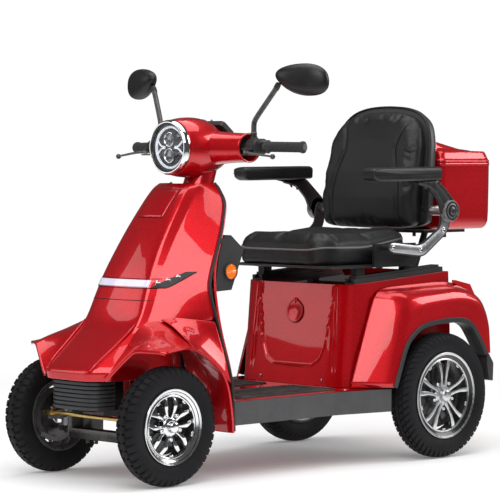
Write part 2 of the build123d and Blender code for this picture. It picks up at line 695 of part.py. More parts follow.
with BuildPart() as steering_column:
    add(rod(steer_at(232), steer_at(985), COLUMN_R))
    add(block((-12, steer_y(236) - 62, 222), (12, steer_y(236) + 8, 234)))
    with Locations((0, steer_y(236) - 52, 216)):
        Cylinder(6, 22)
    add(block((-24, -306, 985), (24, -256, 996)))
save(steering_column.part, "steering_column")

with BuildPart() as handlebar:
    for side in SIDES.values():
        add(bent_rod(mirrored_path(BAR_PATH, side), BAR_R))
    with Locations(BAR_PATH[0]):
        Sphere(BAR_R)
    add(block((-22, -296, 996.5), (22, -262, 1012)))
save(handlebar.part, "handlebar")

GRIP_LENGTH = GRIP_DIR.length - 4


def grip(side, bore):
    """Rubber grip: flanged sleeve on the bar."""
    start, end = along_grip(side, 2), along_grip(side, GRIP_LENGTH)
    sleeve = joined(rod(start, end, 16), rod(start, along_grip(side, 7), 21),
                    rod(along_grip(side, GRIP_LENGTH - 8), end, 19))
    return cut(sleeve, rod(along_grip(side, -10), along_grip(side, 160), bore))


save(grip(1, BAR_R + 0.2), "left_grip")
save(grip(-1, BAR_R + RUNNING), "throttle_grip")

LEVER_PIVOT = (232.0, -334.0, 1000.0)
LEVER_PIN_R = 3.0


def switch_pod(side):
    """Clamp and switch housing round the bar, with the clevis that carries the brake lever."""
    x, y, z = LEVER_PIVOT
    housing = block((side * 206, -316, 992), (side * 250, -250, 1041))
    ears = joined(block((side * 220, y - 9, z - 11), (side * 244, -314, z - 6.5)),
                  block((side * 220, y - 9, z + 6.5), (side * 244, -314, z + 11)),
                  rod((side * x, y, z - 10), (side * x, y, z + 10), LEVER_PIN_R))
    body = cut(joined(housing, ears), rod(along_grip(side, -80), along_grip(side, 40), BAR_R + 0.2))
    button = rod((side * 228, -259, 1006), (side * 228, -240, 1006), 7.3)
    return cut(body, button) if side > 0 else body


save(joined(switch_pod(1), switch_pod(-1)), "switch_pods")
save(rod((228, -255, 1006), (228, -247, 1006), 7), "horn_button")


def brake_lever(side):
    """Lever blade with a hub on its pin and a ball at its end."""
    x, y, z = LEVER_PIVOT
    hub = rod((side * x, y, z - 6), (side * x, y, z + 6), 8)
    blade = bent_rod(mirrored_path([(x, y, z), (262, -354, 997), (352, -341, 986)], side), 4.5)
    with BuildPart() as lever:
        add(hub)
        add(blade)
        with Locations((side * 356, -340, 985.5)):
            Sphere(8.5)
        add(rod((side * x, y, z - 20), (side * x, y, z + 20), LEVER_PIN_R + RUNNING), mode=Mode.SUBTRACT)
    return lever.part


save(brake_lever(1), "brake_lever_left")
save(across(brake_lever(1)), "brake_lever_right")

# The cowl's round sections along the scooter: y, height of centre, radius.
COWL = [(-427, 1014, 85), (-405, 1014, 92), (-365, 1014, 95), (-320, 1014, 92), (-268, 1010, 76), (-222, 1006, 48)]
ARM_END_X = 190.0


def cowl_form(shrink):
    """Headlamp housing with two hollow arms, or its hollow when shrunk."""
    with BuildPart() as form:
        for y, z, radius in COWL:
            with BuildSketch(Plane.XZ.offset(-y)):
                with Locations((0, z)):
                    Circle(radius - shrink)
        loft()
    with BuildPart() as arms:
        for side in SIDES.values():
            with BuildSketch(Plane.YZ.offset(side * 20)):
                with Locations((-318, 1013)):
                    Ellipse(74 - shrink, 60 - shrink)
            with BuildSketch(Plane.YZ.offset(side * (ARM_END_X + (1 if shrink else 0)))):
                with Locations((-276, 1013)):
                    Ellipse(48 - shrink, 46 - shrink)
            loft()
    return joined(form.part, arms.part)


with BuildPart() as handlebar_cowl:
    add(cowl_form(0))
    add(rod(steer_at(884), steer_at(965), NECK_R))
    add(cowl_form(3.5), mode=Mode.SUBTRACT)
    add(rod(steer_at(870), steer_at(975), NECK_R - 3.5), mode=Mode.SUBTRACT)
    with Locations((0, -440, 1014)):
        Box(180, 26.5, 180, mode=Mode.SUBTRACT)

DASH = Plane(origin=(0, -236, 1074), x_dir=(-1, 0, 0), z_dir=(0, 0.62, 0.78))
with BuildPart() as dash_panel:
    with BuildSketch(DASH.offset(-10)):
        RectangleRounded(104, 62, 12)
    extrude(amount=16)
    with BuildSketch(DASH.offset(5)):
        with Locations((-10, 0)):
            RectangleRounded(66, 44, 5)
    extrude(amount=1, mode=Mode.SUBTRACT)
    with BuildSketch(DASH.offset(-4)):
        with Locations((38, 0)):
            Circle(3.5 + RUNNING)
    extrude(amount=12, mode=Mode.SUBTRACT)
with BuildPart() as dash_hole:
    with BuildSketch(DASH.offset(-60)):
        RectangleRounded(105, 63, 12.5)
    extrude(amount=90)
save(cut(handlebar_cowl.part, dash_hole.part), "handlebar_cowl")
save(dash_panel.part, "dash_panel")

with BuildPart() as ignition_key:
    with BuildSketch(DASH.offset(-3)):
        with Locations((38, 0)):
            Circle(3.5)
    extrude(amount=15)
    with BuildSketch(DASH.offset(10)):
        with Locations((38, 0)):
            Rectangle(3, 20)
    extrude(amount=20)
save(ignition_key.part, "ignition_key")


def lamp_turned(outline):
    """Round lamp piece turned about the headlamp's axis; outline holds (radius, y) pairs."""
    with BuildPart() as piece:
        with BuildSketch(Plane(origin=(0, 0, BAR_Z))):
            Polygon(*outline, align=None)
        revolve(axis=Axis((0, 0, BAR_Z), (0, 1, 0)))
    return piece.part


save(lamp_turned([(76, -427.5), (84.5, -427.5), (85.5, -440), (83, -449), (78, -452), (76, -448)]),
     "headlamp_bezel")
save(lamp_turned([(0, -451), (40, -449.5), (75.5, -444), (75.5, -440), (40, -445.5), (0, -447)]), "headlamp_lens")
with BuildPart() as headlamp_unit:
    add(lamp_turned([(0, -424), (70, -424), (75.5, -438), (73, -438), (67, -427), (0, -427)]))
    for lamp_z in (BAR_Z - 26, BAR_Z + 26):
        add(rod((0, -426, lamp_z), (0, -438, lamp_z), 21))
    add(rod((0, -424.5, BAR_Z), (0, -400, BAR_Z), 40))
save(headlamp_unit.part, "headlamp_unit")

# ------------------------------------------------------------------ mirrors
STEM_TOP = (278.0, -252.0, 1182.0)
MIRROR_CENTRE = (371.0, -228.0, 1222.0)
MIRROR_SWEEP = math.radians(16.5)
MIRROR_OUTLINE = [(-96, -24), (-70, -40), (-20, -50), (40, -49), (80, -28), (91, 4), (84, 34), (55, 50), (0, 51),
                  (-50, 34), (-92, 0)]


def mirror_plane(side):
    """Plane of a mirror glass, facing the rider."""
    facing = (-side * math.sin(MIRROR_SWEEP), math.cos(MIRROR_SWEEP), 0)
    outwards = (side * math.cos(MIRROR_SWEEP), math.sin(MIRROR_SWEEP), 0)
    return Plane(origin=(side * MIRROR_CENTRE[0], *MIRROR_CENTRE[1:]), x_dir=outwards, z_dir=facing)


def mirror_face(side, depth, scale):
    """Mirror outline on a plane at a depth in front of or behind the glass."""
    plane = mirror_plane(side).offset(depth)
    flip = 1 if plane.y_dir.Z > 0 else -1
    return plane, [(u * scale, flip * v * scale) for u, v in MIRROR_OUTLINE]


stem_path = [(215, -283, 1041.5), (215, -283, 1094), STEM_TOP]
with BuildPart() as mirror_stems:
    for side in SIDES.values():
        add(bent_rod(mirrored_path(stem_path, side), 6))
        add(rod((side * 215, -283, 1041.5), (side * 215, -283, 1056), 10))
        with Locations((side * STEM_TOP[0], STEM_TOP[1], STEM_TOP[2])):
            Cylinder(8, 8)
save(mirror_stems.part, "mirror_stems")

for side_name, side in SIDES.items():
    shell = section_loft([mirror_face(side, -26, 0.55), mirror_face(side, -14, 0.88), mirror_face(side, 4, 1.0),
                          mirror_face(side, 12, 0.98)])
    pocket = section_loft([mirror_face(side, 9, 0.9), mirror_face(side, 14, 0.9)])
    boss = rod((side * STEM_TOP[0], STEM_TOP[1], STEM_TOP[2] + 4.5), (side * STEM_TOP[0], STEM_TOP[1], STEM_TOP[2] + 30), 8)
    save(cut(joined(shell, boss), pocket), f"mirror_head_{side_name}")
    save(section_loft([mirror_face(side, 9.1, 0.885), mirror_face(side, 11.5, 0.885)]), f"mirror_glass_{side_name}")

# ------------------------------------------------------------------ seat
CUSHION_HALF = 232.0
with BuildPart() as seat_pan:
    for side in SIDES.values():
        add(along_slope(side, 164, 0.5, SLIDE_SECTION, 398))
        add(side_slab([(168, 596), (204, 599), (204, 627), (168, 627)], side * 200, side * 228))
        add(side_slab([(396, 612), (428, 614), (428, 627), (396, 627)], side * 200, side * 228))
        add(block((side * 238, 230, 626), (side * 246, 430, 702)))
        for bolt_y, bolt_z in ((266, 690), (401, 679)):
            add(rod((side * 240, bolt_y, bolt_z), (side * 286, bolt_y, bolt_z), 10))
    add(block((-246, 36, 626), (246, 430, 631)))
save(seat_pan.part, "seat_pan")

with BuildPart() as seat_cushion:
    with BuildSketch(Plane.YZ.offset(-CUSHION_HALF)):
        Polygon((20, 632), (8, 664), (10, 694), (30, 722), (60, 733), (250, 726), (380, 738), (432, 742),
                (434, 632), align=None)
    extrude(amount=2 * CUSHION_HALF)
    with BuildSketch(Plane.XY.offset(600)):
        Polygon((-150, 8), (150, 8), (196, 26), (224, 80), (CUSHION_HALF, 180), (CUSHION_HALF, 434),
                (-CUSHION_HALF, 434), (-CUSHION_HALF, 180), (-224, 80), (-196, 26), align=None)
    extrude(amount=200, mode=Mode.INTERSECT)
save(seat_cushion.part, "seat_cushion")

BACK_OUTLINE = [(0, 1158), (80, 1152), (148, 1128), (196, 1080), (224, 1005), (234, 900), (234, 800), (222, 748),
                (0, 748)]
PIVOT_R = 8.0


def backrest_part(profile):
    """Side profile in (y, z) cut to the backrest's rounded front outline."""
    with BuildPart() as part:
        add(side_slab(profile, -240, 240))
        with BuildSketch(Plane.XZ.offset(-700)):
            Polygon(*both_sides(BACK_OUTLINE), align=None)
        extrude(amount=400, mode=Mode.INTERSECT)
    return part.part


save(backrest_part([(442, 748), (440, 850), (452, 930), (480, 1040), (515, 1120), (544, 1158), (560, 1158),
                    (540, 1060), (518, 950), (508, 850), (505, 748)]), "backrest_cushion")
with BuildPart() as backrest_shell:
    add(backrest_part([(505.5, 748), (508.5, 850), (518.5, 950), (540.5, 1060), (560.5, 1158), (576, 1158), (588, 1120),
                       (580, 1040), (566, 930), (560, 843), (554, 748)]))
    for side in SIDES.values():
        add(rod((side * 200, RECLINER_Y, RECLINER_Z), (side * 284, RECLINER_Y, RECLINER_Z), 16))
        add(rod((side * 200, RECLINER_Y, RECLINER_Z), (side * 316, RECLINER_Y, RECLINER_Z), PIVOT_R))
    add(backrest_part([(430, 748), (440, 850), (452, 930), (480, 1040), (515, 1120), (544, 1158), (560, 1158),
                       (540, 1060), (518, 950), (508, 850), (505.2, 748)]), mode=Mode.SUBTRACT)
save(backrest_shell.part, "backrest_shell")

LINK = [(248, 684), (268, 672), (400, 658), (424, 662), (540, 736), (552, 800), (545, 826), (510, 826), (502, 800),
        (500, 752), (400, 696), (268, 710), (250, 704)]
with BuildPart() as seat_links:
    for side in SIDES.values():
        add(side_slab(LINK, side * 286.5, side * 292.5))
        for bolt_y, bolt_z in ((268, 691), (401, 679), (512, 741)):
            add(rod((side * 292, bolt_y, bolt_z), (side * 297, bolt_y, bolt_z), 11))
        add(rod((side * 280, RECLINER_Y, RECLINER_Z), (side * 300, RECLINER_Y, RECLINER_Z), PIVOT_R + RUNNING),
            mode=Mode.SUBTRACT)
save(seat_links.part, "seat_links")

ARM_PAD = [(143, 946), (146, 910), (160, 903), (380, 905), (474, 907), (474, 948), (460, 954), (170, 952)]
ARM_BRACKET = [(330, 906), (474, 906), (550, 838), (560, 800), (545, 772), (512, 770), (496, 790), (480, 830), (430, 880)]
for side_name, side in SIDES.items():
    with BuildPart() as armrest:
        add(side_slab(ARM_PAD, side * 266, side * 328))
        add(side_slab(ARM_BRACKET, side * 298, side * 310))
        add(rod((side * 298, RECLINER_Y, RECLINER_Z), (side * 326, RECLINER_Y, RECLINER_Z), 36))
        add(rod((side * 290, RECLINER_Y, RECLINER_Z), (side * 317, RECLINER_Y, RECLINER_Z), PIVOT_R + RUNNING),
            mode=Mode.SUBTRACT)
    save(armrest.part, f"armrest_{side_name}")
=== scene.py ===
"""Looks of a four-wheeled mobility scooter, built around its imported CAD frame."""

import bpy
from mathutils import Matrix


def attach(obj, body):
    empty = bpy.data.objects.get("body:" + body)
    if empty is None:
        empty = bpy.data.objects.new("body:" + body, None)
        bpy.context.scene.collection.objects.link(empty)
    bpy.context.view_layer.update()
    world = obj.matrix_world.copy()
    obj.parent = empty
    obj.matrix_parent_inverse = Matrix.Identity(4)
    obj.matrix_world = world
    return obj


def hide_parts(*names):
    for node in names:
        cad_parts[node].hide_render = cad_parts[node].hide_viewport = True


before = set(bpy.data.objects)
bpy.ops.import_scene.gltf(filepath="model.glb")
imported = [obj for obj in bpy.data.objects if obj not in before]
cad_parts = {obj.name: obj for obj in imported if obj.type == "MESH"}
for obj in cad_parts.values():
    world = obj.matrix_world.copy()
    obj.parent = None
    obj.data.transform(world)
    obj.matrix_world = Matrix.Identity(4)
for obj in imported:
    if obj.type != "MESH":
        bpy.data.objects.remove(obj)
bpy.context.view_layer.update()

import math

import bpy
import numpy as np
from mathutils import Vector
from mathutils.geometry import tessellate_polygon

bl_info = {
    "name": "Mobility scooter looks",
    "version": (1, 0, 0),
    "blender": (4, 5, 0),
    "location": "View3D > Sidebar > Scooter",
    "description": "Builds the panels, wheels, seat, lamps and finishes of a mobility scooter on its frame",
    "category": "Object",
}

MM = 0.001
X, Y, Z = (1, 0, 0), (0, 1, 0), (0, 0, 1)
SIDES = {"left": 1, "right": -1}


# ------------------------------------------------------------------ surfaces
def steps(first, last, per):
    """Positions from the first control point to the last, with so many to each stretch between two."""
    return np.linspace(first, last, int(round((last - first) * per)) + 1)


def line_weights(count, at, soft, closed=False):
    """Share of each control point in a line with softened corners, at positions counted in points.

    Within a reach f of corner k, with t = (d + f) / 2f for a distance d past it, the previous point weighs
    f (1 - t)^2, the next one f t^2 and the corner the rest. Outside that reach the line is straight.
    """
    at = np.asarray(at, float)
    corner = np.round(at).astype(int)
    past = at - corner
    reach = np.broadcast_to(np.asarray(soft, float), (count,)).copy()
    if not closed:
        reach[[0, -1]] = 0
    reach = reach[corner % count]
    share = (past + reach) / np.maximum(2 * reach, 1e-9)
    bent = np.abs(past) < reach
    before = np.where(bent, reach * (1 - share) ** 2, np.maximum(-past, 0))
    after = np.where(bent, reach * share**2, np.maximum(past, 0))
    weights = np.zeros((len(at), count))
    rows = np.arange(len(at))
    for shift, part in ((-1, before), (0, 1 - before - after), (1, after)):
        column = (corner + shift) % count if closed else np.clip(corner + shift, 0, count - 1)
        np.add.at(weights, (rows, column), part)
    return weights


def soft_line(points, per=8, soft=0.5, closed=False):
    """Line through a row of control points with its corners softened by line_weights."""
    points = np.asarray(points, float)
    count = len(points)
    at = steps(0, count, per)[:-1] if closed else steps(0, count - 1, per)
    return line_weights(count, at, soft, closed) @ points


def net(control, rows, columns, soft_rows=0.5, soft_columns=0.5, closed_rows=False, closed_columns=False):
    """Sheet over a net of control points: the weights along its rows times the net times those across it."""
    control = np.asarray(control, float)
    down = line_weights(control.shape[0], rows, soft_rows, closed_rows)
    over = line_weights(control.shape[1], columns, soft_columns, closed_columns)
    return np.einsum("ik,klc,jl->ijc", down, control, over)


def normals_of(grid, wrap=False):
    """Unit normals of a grid of points: the cross product of its slopes down and across."""
    down = np.gradient(grid, axis=0)
    if wrap:
        over = np.roll(grid, -1, axis=1) - np.roll(grid, 1, axis=1)
    else:
        over = np.gradient(grid, axis=1)
    normal = np.cross(over, down)
    return normal / np.maximum(np.linalg.norm(normal, axis=2, keepdims=True), 1e-9)


def ease(value):
    """Smooth step: 0 below 0, 1 above 1 and 3t^2 - 2t^3 between."""
    value = np.clip(value, 0, 1)
    return value * value * (3 - 2 * value)


def shell(grid, wrap_rows=False, wrap_columns=False, caps=(False, False), inside=None):
    """Corner points and faces of a grid: face (i, j) joins points i, j to i + 1, j + 1.

    A cap is a fan from an end row to that row's middle. The faces are turned round when the sum of
    normal times distance from the inside point is negative, so they look outwards.
    """
    rows, columns = grid.shape[:2]
    points = grid.reshape(-1, 3)
    i = np.arange(rows if wrap_rows else rows - 1)[:, None]
    j = np.arange(columns if wrap_columns else columns - 1)[None, :]
    i2, j2 = (i + 1) % rows, (j + 1) % columns
    quads = np.stack([i * columns + j, i * columns + j2, i2 * columns + j2, i2 * columns + j],
                     axis=-1).reshape(-1, 4)
    faces = [quads]
    for end, wanted in enumerate(caps):
        if not wanted:
            continue
        row = (rows - 1) * end
        first = row * columns + np.arange(columns if wrap_columns else columns - 1)
        second = row * columns + (np.arange(len(first)) + 1) % columns
        middle = np.full(len(first), len(points))
        points = np.vstack([points, grid[row].mean(axis=0)])
        fan = (second, first) if end == 0 else (first, second)
        faces.append(np.stack([middle, fan[0], fan[1], np.full(len(first), -1)], axis=1))
    faces = np.concatenate(faces)
    centre = points.mean(axis=0) if inside is None else np.asarray(inside, float)
    a, b, c = (points[faces[:, k]] for k in range(3))
    if np.einsum("ij,ij->", np.cross(b - a, c - a), a - centre) < 0:
        three = faces[:, 3] < 0
        turned_faces = faces[:, ::-1].copy()
        turned_faces[three] = faces[three][:, [2, 1, 0, 3]]
        faces = turned_faces
    return points, faces


def rounded(outline, reach, per=6):
    """Closed outline whose corner P becomes (1-t)^2 A + 2t(1-t) P + t^2 B, with A and B a reach away."""
    corner = np.asarray(outline, float)
    back, on = np.roll(corner, 1, 0) - corner, np.roll(corner, -1, 0) - corner
    near, far = (np.linalg.norm(v, axis=1, keepdims=True) for v in (back, on))
    cut = np.minimum(np.broadcast_to(np.reshape(reach, (-1, 1)), near.shape), 0.48 * np.minimum(near, far))
    start, end = corner + back / near * cut, corner + on / far * cut
    t = np.linspace(0, 1, per)[None, :, None]
    curve = (1 - t) ** 2 * start[:, None] + 2 * t * (1 - t) * corner[:, None] + t**2 * end[:, None]
    return curve.reshape(-1, 2)


def plane_axes(axis, across=None):
    """Two unit vectors square to an axis, the first one as near as possible to across."""
    axis = np.asarray(axis, float) / np.linalg.norm(axis)
    guide = np.asarray(across if across is not None else (Z if abs(axis[2]) < 0.9 else Y), float)
    first = guide - axis * (guide @ axis)
    first /= np.linalg.norm(first)
    return axis, first, np.cross(axis, first)


def plate(outline, layers, origin, axis, across=None):
    """Solid from a closed outline: ring k is the outline times scale, moved in by inset, at its height.

    Layers are (height, inset) or (height, inset, scale). The outline's first number runs along across.
    """
    outline = np.asarray(outline, float)
    along = np.roll(outline, -1, 0) - np.roll(outline, 1, 0)
    along /= np.maximum(np.linalg.norm(along, axis=1, keepdims=True), 1e-9)
    area = np.sum(outline[:, 0] * np.roll(outline[:, 1], -1) - np.roll(outline[:, 0], -1) * outline[:, 1])
    inward = np.stack([-along[:, 1], along[:, 0]], axis=1) * np.sign(area)
    layers = np.array([(*layer, 1.0)[:3] for layer in layers], float)
    flat = outline[None] * layers[:, 2, None, None] + inward[None] * layers[:, 1, None, None]
    axis, first, second = plane_axes(axis, across)
    grid = (np.asarray(origin, float) + flat[..., :1] * first + flat[..., 1:] * second
            + layers[:, :1, None] * axis)
    rows, columns = grid.shape[:2]
    i, j = np.arange(rows - 1)[:, None] * columns, np.arange(columns)[None, :]
    j2 = (j + 1) % columns
    faces = [np.stack([i + j, i + j2, i + columns + j2, i + columns + j], axis=-1).reshape(-1, 4)]
    for row in (0, rows - 1):
        cap = np.array(tessellate_polygon([[Vector((*spot, 0)) for spot in flat[row]]]))
        a, b, c = (flat[row][cap[:, k]] for k in range(3))
        wrong = ((b - a)[:, 0] * (c - a)[:, 1] - (b - a)[:, 1] * (c - a)[:, 0]) * np.sign(area) < 0
        cap[wrong] = cap[wrong][:, ::-1]
        cap = cap if row else cap[:, ::-1]
        faces.append(np.column_stack([cap + row * columns, np.full(len(cap), -1)]))
    faces = np.concatenate(faces)
    if area * (layers[-1, 0] - layers[0, 0]) < 0:
        three = faces[:, 3] < 0
        faces = np.where(three[:, None], faces[:, [2, 1, 0, 3]], faces[:, ::-1])
    return grid.reshape(-1, 3), faces


def turned(outline, centre, axis=X, around=96, closed=False, relief=None):
    """Surface turned about an axis from (along, radius) pairs; a relief function moves it outwards."""
    outline = np.asarray(outline, float)
    angle = np.linspace(0, 2 * np.pi, around, endpoint=False)
    axis, first, second = plane_axes(axis)
    along, radius = np.broadcast_arrays(outline[:, :1], outline[:, 1:] + 0 * angle)
    if relief is not None:
        radius = radius + relief(angle[None, :], outline[:, :1], outline[:, 1:])
    round_it = np.cos(angle)[None, :, None] * first + np.sin(angle)[None, :, None] * second
    grid = np.asarray(centre, float) + along[..., None] * axis + radius[..., None] * round_it
    return shell(grid, wrap_rows=closed, wrap_columns=True, caps=(not closed, not closed))


def box_corners(half_wide, half_high):
    """Corners of an upright rectangle about the origin, anticlockwise from its lower left."""
    return [(-half_wide, -half_high), (half_wide, -half_high), (half_wide, half_high), (-half_wide, half_high)]


def circle(radius, count=12, squash=1.0):
    """Closed round outline, flattened by squash in its second number."""
    angle = np.linspace(0, 2 * np.pi, count, endpoint=False)
    return np.stack([radius * np.cos(angle), radius * squash * np.sin(angle)], axis=1)


def swept(path, profile, up=Z, size=None, closed=False):
    """Profile (a, b) carried along a path: point = path + a side + b lift.

    Side is the path's direction times up, and lift is side times that direction.
    """
    path = np.asarray(path, float)
    if closed:
        tangent = np.roll(path, -1, 0) - np.roll(path, 1, 0)
    else:
        tangent = np.gradient(path, axis=0)
    tangent /= np.linalg.norm(tangent, axis=1, keepdims=True)
    side = np.cross(tangent, np.asarray(up, float))
    side /= np.maximum(np.linalg.norm(side, axis=1, keepdims=True), 1e-9)
    lift = np.cross(side, tangent)
    profile = np.asarray(profile, float)
    size = np.ones(len(path)) if size is None else np.asarray(size, float)
    grid = (path[:, None] + size[:, None, None] * (profile[None, :, :1] * side[:, None]
                                                   + profile[None, :, 1:] * lift[:, None]))
    return shell(grid, wrap_rows=closed, wrap_columns=True, caps=(not closed, not closed))


def dome(centre, axis, radius, height, count=14):
    """Low button: radius times cos t at height times sin t, on a short straight foot."""
    t = np.linspace(0, np.pi / 2, 5)[:-1]
    outline = [(-1.5, radius)] + list(zip(height * (0.35 + 0.65 * np.sin(t)), radius * np.cos(t) ** 0.6))
    return turned(outline + [(height, radius * 0.12)], centre, axis, count)


def copies_round(part, centre, axis, count, start=0.0):
    """A part repeated round an axis: p' = c + R(2 pi k / count) (p - c), for every k at once."""
    points, faces = part
    axis, first, second = plane_axes(axis)
    angle = start + np.arange(count) * 2 * np.pi / count
    local = points - np.asarray(centre, float)
    along, a, b = local @ axis, local @ first, local @ second
    c, s = np.cos(angle)[:, None], np.sin(angle)[:, None]
    spun = (np.asarray(centre, float) + along[None, :, None] * axis + (c * a - s * b)[..., None] * first
            + (s * a + c * b)[..., None] * second)
    shift = (np.arange(count) * len(points))[:, None, None]
    return spun.reshape(-1, 3), np.where(faces[None] < 0, -1, faces[None] + shift).reshape(-1, 4)


def mirrored(part):
    """The same part on the other side: x changes sign and every face turns round."""
    points, faces = part
    flipped = faces[:, ::-1].copy()
    three = faces[:, 3] < 0
    flipped[three] = faces[three][:, [2, 1, 0, 3]]
    return points * (-1, 1, 1), flipped


def on_side(part, side):
    return part if side > 0 else mirrored(part)


def both(part):
    return [part, mirrored(part)]


def inside_depth(u, v, polygon):
    """Distance from a polygon's edge, positive inside it, for whole arrays of points."""
    a = np.asarray(polygon, float)
    b = np.roll(a, -1, 0)
    p = np.stack([u, v], axis=-1)[..., None, :]
    edge = b - a
    t = np.clip(np.sum((p - a) * edge, -1) / np.sum(edge**2, -1), 0, 1)
    away = np.linalg.norm(p - (a + t[..., None] * edge), axis=-1).min(-1)
    above = (a[:, 1] > v[..., None]) != (b[:, 1] > v[..., None])
    crossing = a[:, 0] + (v[..., None] - a[:, 1]) * edge[:, 0] / np.where(edge[:, 1] == 0, 1e-9, edge[:, 1])
    within = np.sum(above & (u[..., None] < crossing), -1) % 2 == 1
    return np.where(within, away, -away)


def piece(name, parts, finish, body, replaces=(), sharp=38.0, wall=0.0, subdivide=0):
    """Object from parts in millimetres, with its finish, its body and the CAD nodes it stands for."""
    counts = np.cumsum([0] + [len(points) for points, _ in parts])
    points = np.concatenate([p for p, _ in parts]) * MM
    faces = np.concatenate([np.where(f < 0, -1, f + c) for (_, f), c in zip(parts, counts)])
    corners = faces[faces >= 0]
    sizes = (faces >= 0).sum(axis=1)
    mesh = bpy.data.meshes.new(name)
    mesh.vertices.add(len(points))
    mesh.vertices.foreach_set("co", points.astype(np.float32).ravel())
    mesh.loops.add(len(corners))
    mesh.loops.foreach_set("vertex_index", corners.astype(np.int32))
    mesh.polygons.add(len(faces))
    mesh.polygons.foreach_set("loop_start", np.concatenate([[0], np.cumsum(sizes)[:-1]]).astype(np.int32))
    mesh.update(calc_edges=True)
    mesh.validate()
    mesh.shade_smooth()
    mesh.set_sharp_from_angle(angle=math.radians(sharp))
    piece_object = bpy.data.objects.new(name, mesh)
    bpy.context.scene.collection.objects.link(piece_object)
    mesh.materials.append(FINISH[finish])
    if wall:
        thick = piece_object.modifiers.new("Wall", "SOLIDIFY")
        thick.thickness = wall * MM
        thick.offset = -1
        thick.use_rim = True
    if subdivide:
        finer = piece_object.modifiers.new("Finer", "SUBSURF")
        finer.levels = finer.render_levels = subdivide
    if replaces:
        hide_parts(*replaces)
    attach(piece_object, body)
    return piece_object


# ------------------------------------------------------------------ finishes
GROUPS = {}
FINISH = {}


class Nodes:
    """A node tree with short calls for adding nodes and joining their sockets."""

    def __init__(self, tree):
        self.tree = tree

    def add(self, kind, **settings):
        node = self.tree.nodes.new(kind)
        for key, value in settings.items():
            setattr(node, key, value)
        return node

    def put(self, socket, value):
        """Joins an output to a socket, or sets the socket's own value."""
        if isinstance(value, bpy.types.NodeSocket):
            self.tree.links.new(value, socket)
        else:
            socket.default_value = value

    def math(self, operation, a, b=0.0, clamp=False):
        node = self.add("ShaderNodeMath", operation=operation, use_clamp=clamp)
        self.put(node.inputs[0], a)
        self.put(node.inputs[1], b)
        return node.outputs[0]

    def ramp(self, value, low, high, start=0.0, end=1.0):
        node = self.add("ShaderNodeMapRange", clamp=True)
        for socket, number in zip(node.inputs[:5], (value, low, high, start, end)):
            self.put(socket, number)
        return node.outputs[0]

    def mix(self, share, a, b):
        node = self.add("ShaderNodeMix", data_type="RGBA")
        self.put(node.inputs[0], share)
        self.put(node.inputs[6], a)
        self.put(node.inputs[7], b)
        return node.outputs[2]

    def noise(self, vector, scale, detail=3.0, rough=0.55):
        node = self.add("ShaderNodeTexNoise")
        self.put(node.inputs["Vector"], vector)
        self.put(node.inputs["Scale"], scale)
        self.put(node.inputs["Detail"], detail)
        self.put(node.inputs["Roughness"], rough)
        return node.outputs["Fac"]


def new_group(name, inputs, outputs):
    """Shader node group with its named sockets: (name, kind, default) in, (name, kind) out."""
    tree = bpy.data.node_groups.new(name, "ShaderNodeTree")
    kinds = {"f": "NodeSocketFloat", "c": "NodeSocketColor", "v": "NodeSocketVector"}
    for label, kind, value in inputs:
        socket = tree.interface.new_socket(label, in_out="INPUT", socket_type=kinds[kind])
        if value is not None:
            socket.default_value = value
    for label, kind in outputs:
        tree.interface.new_socket(label, in_out="OUTPUT", socket_type=kinds[kind])
    GROUPS[name] = tree
    return Nodes(tree), tree.nodes.new("NodeGroupInput").outputs, tree.nodes.new("NodeGroupOutput").inputs


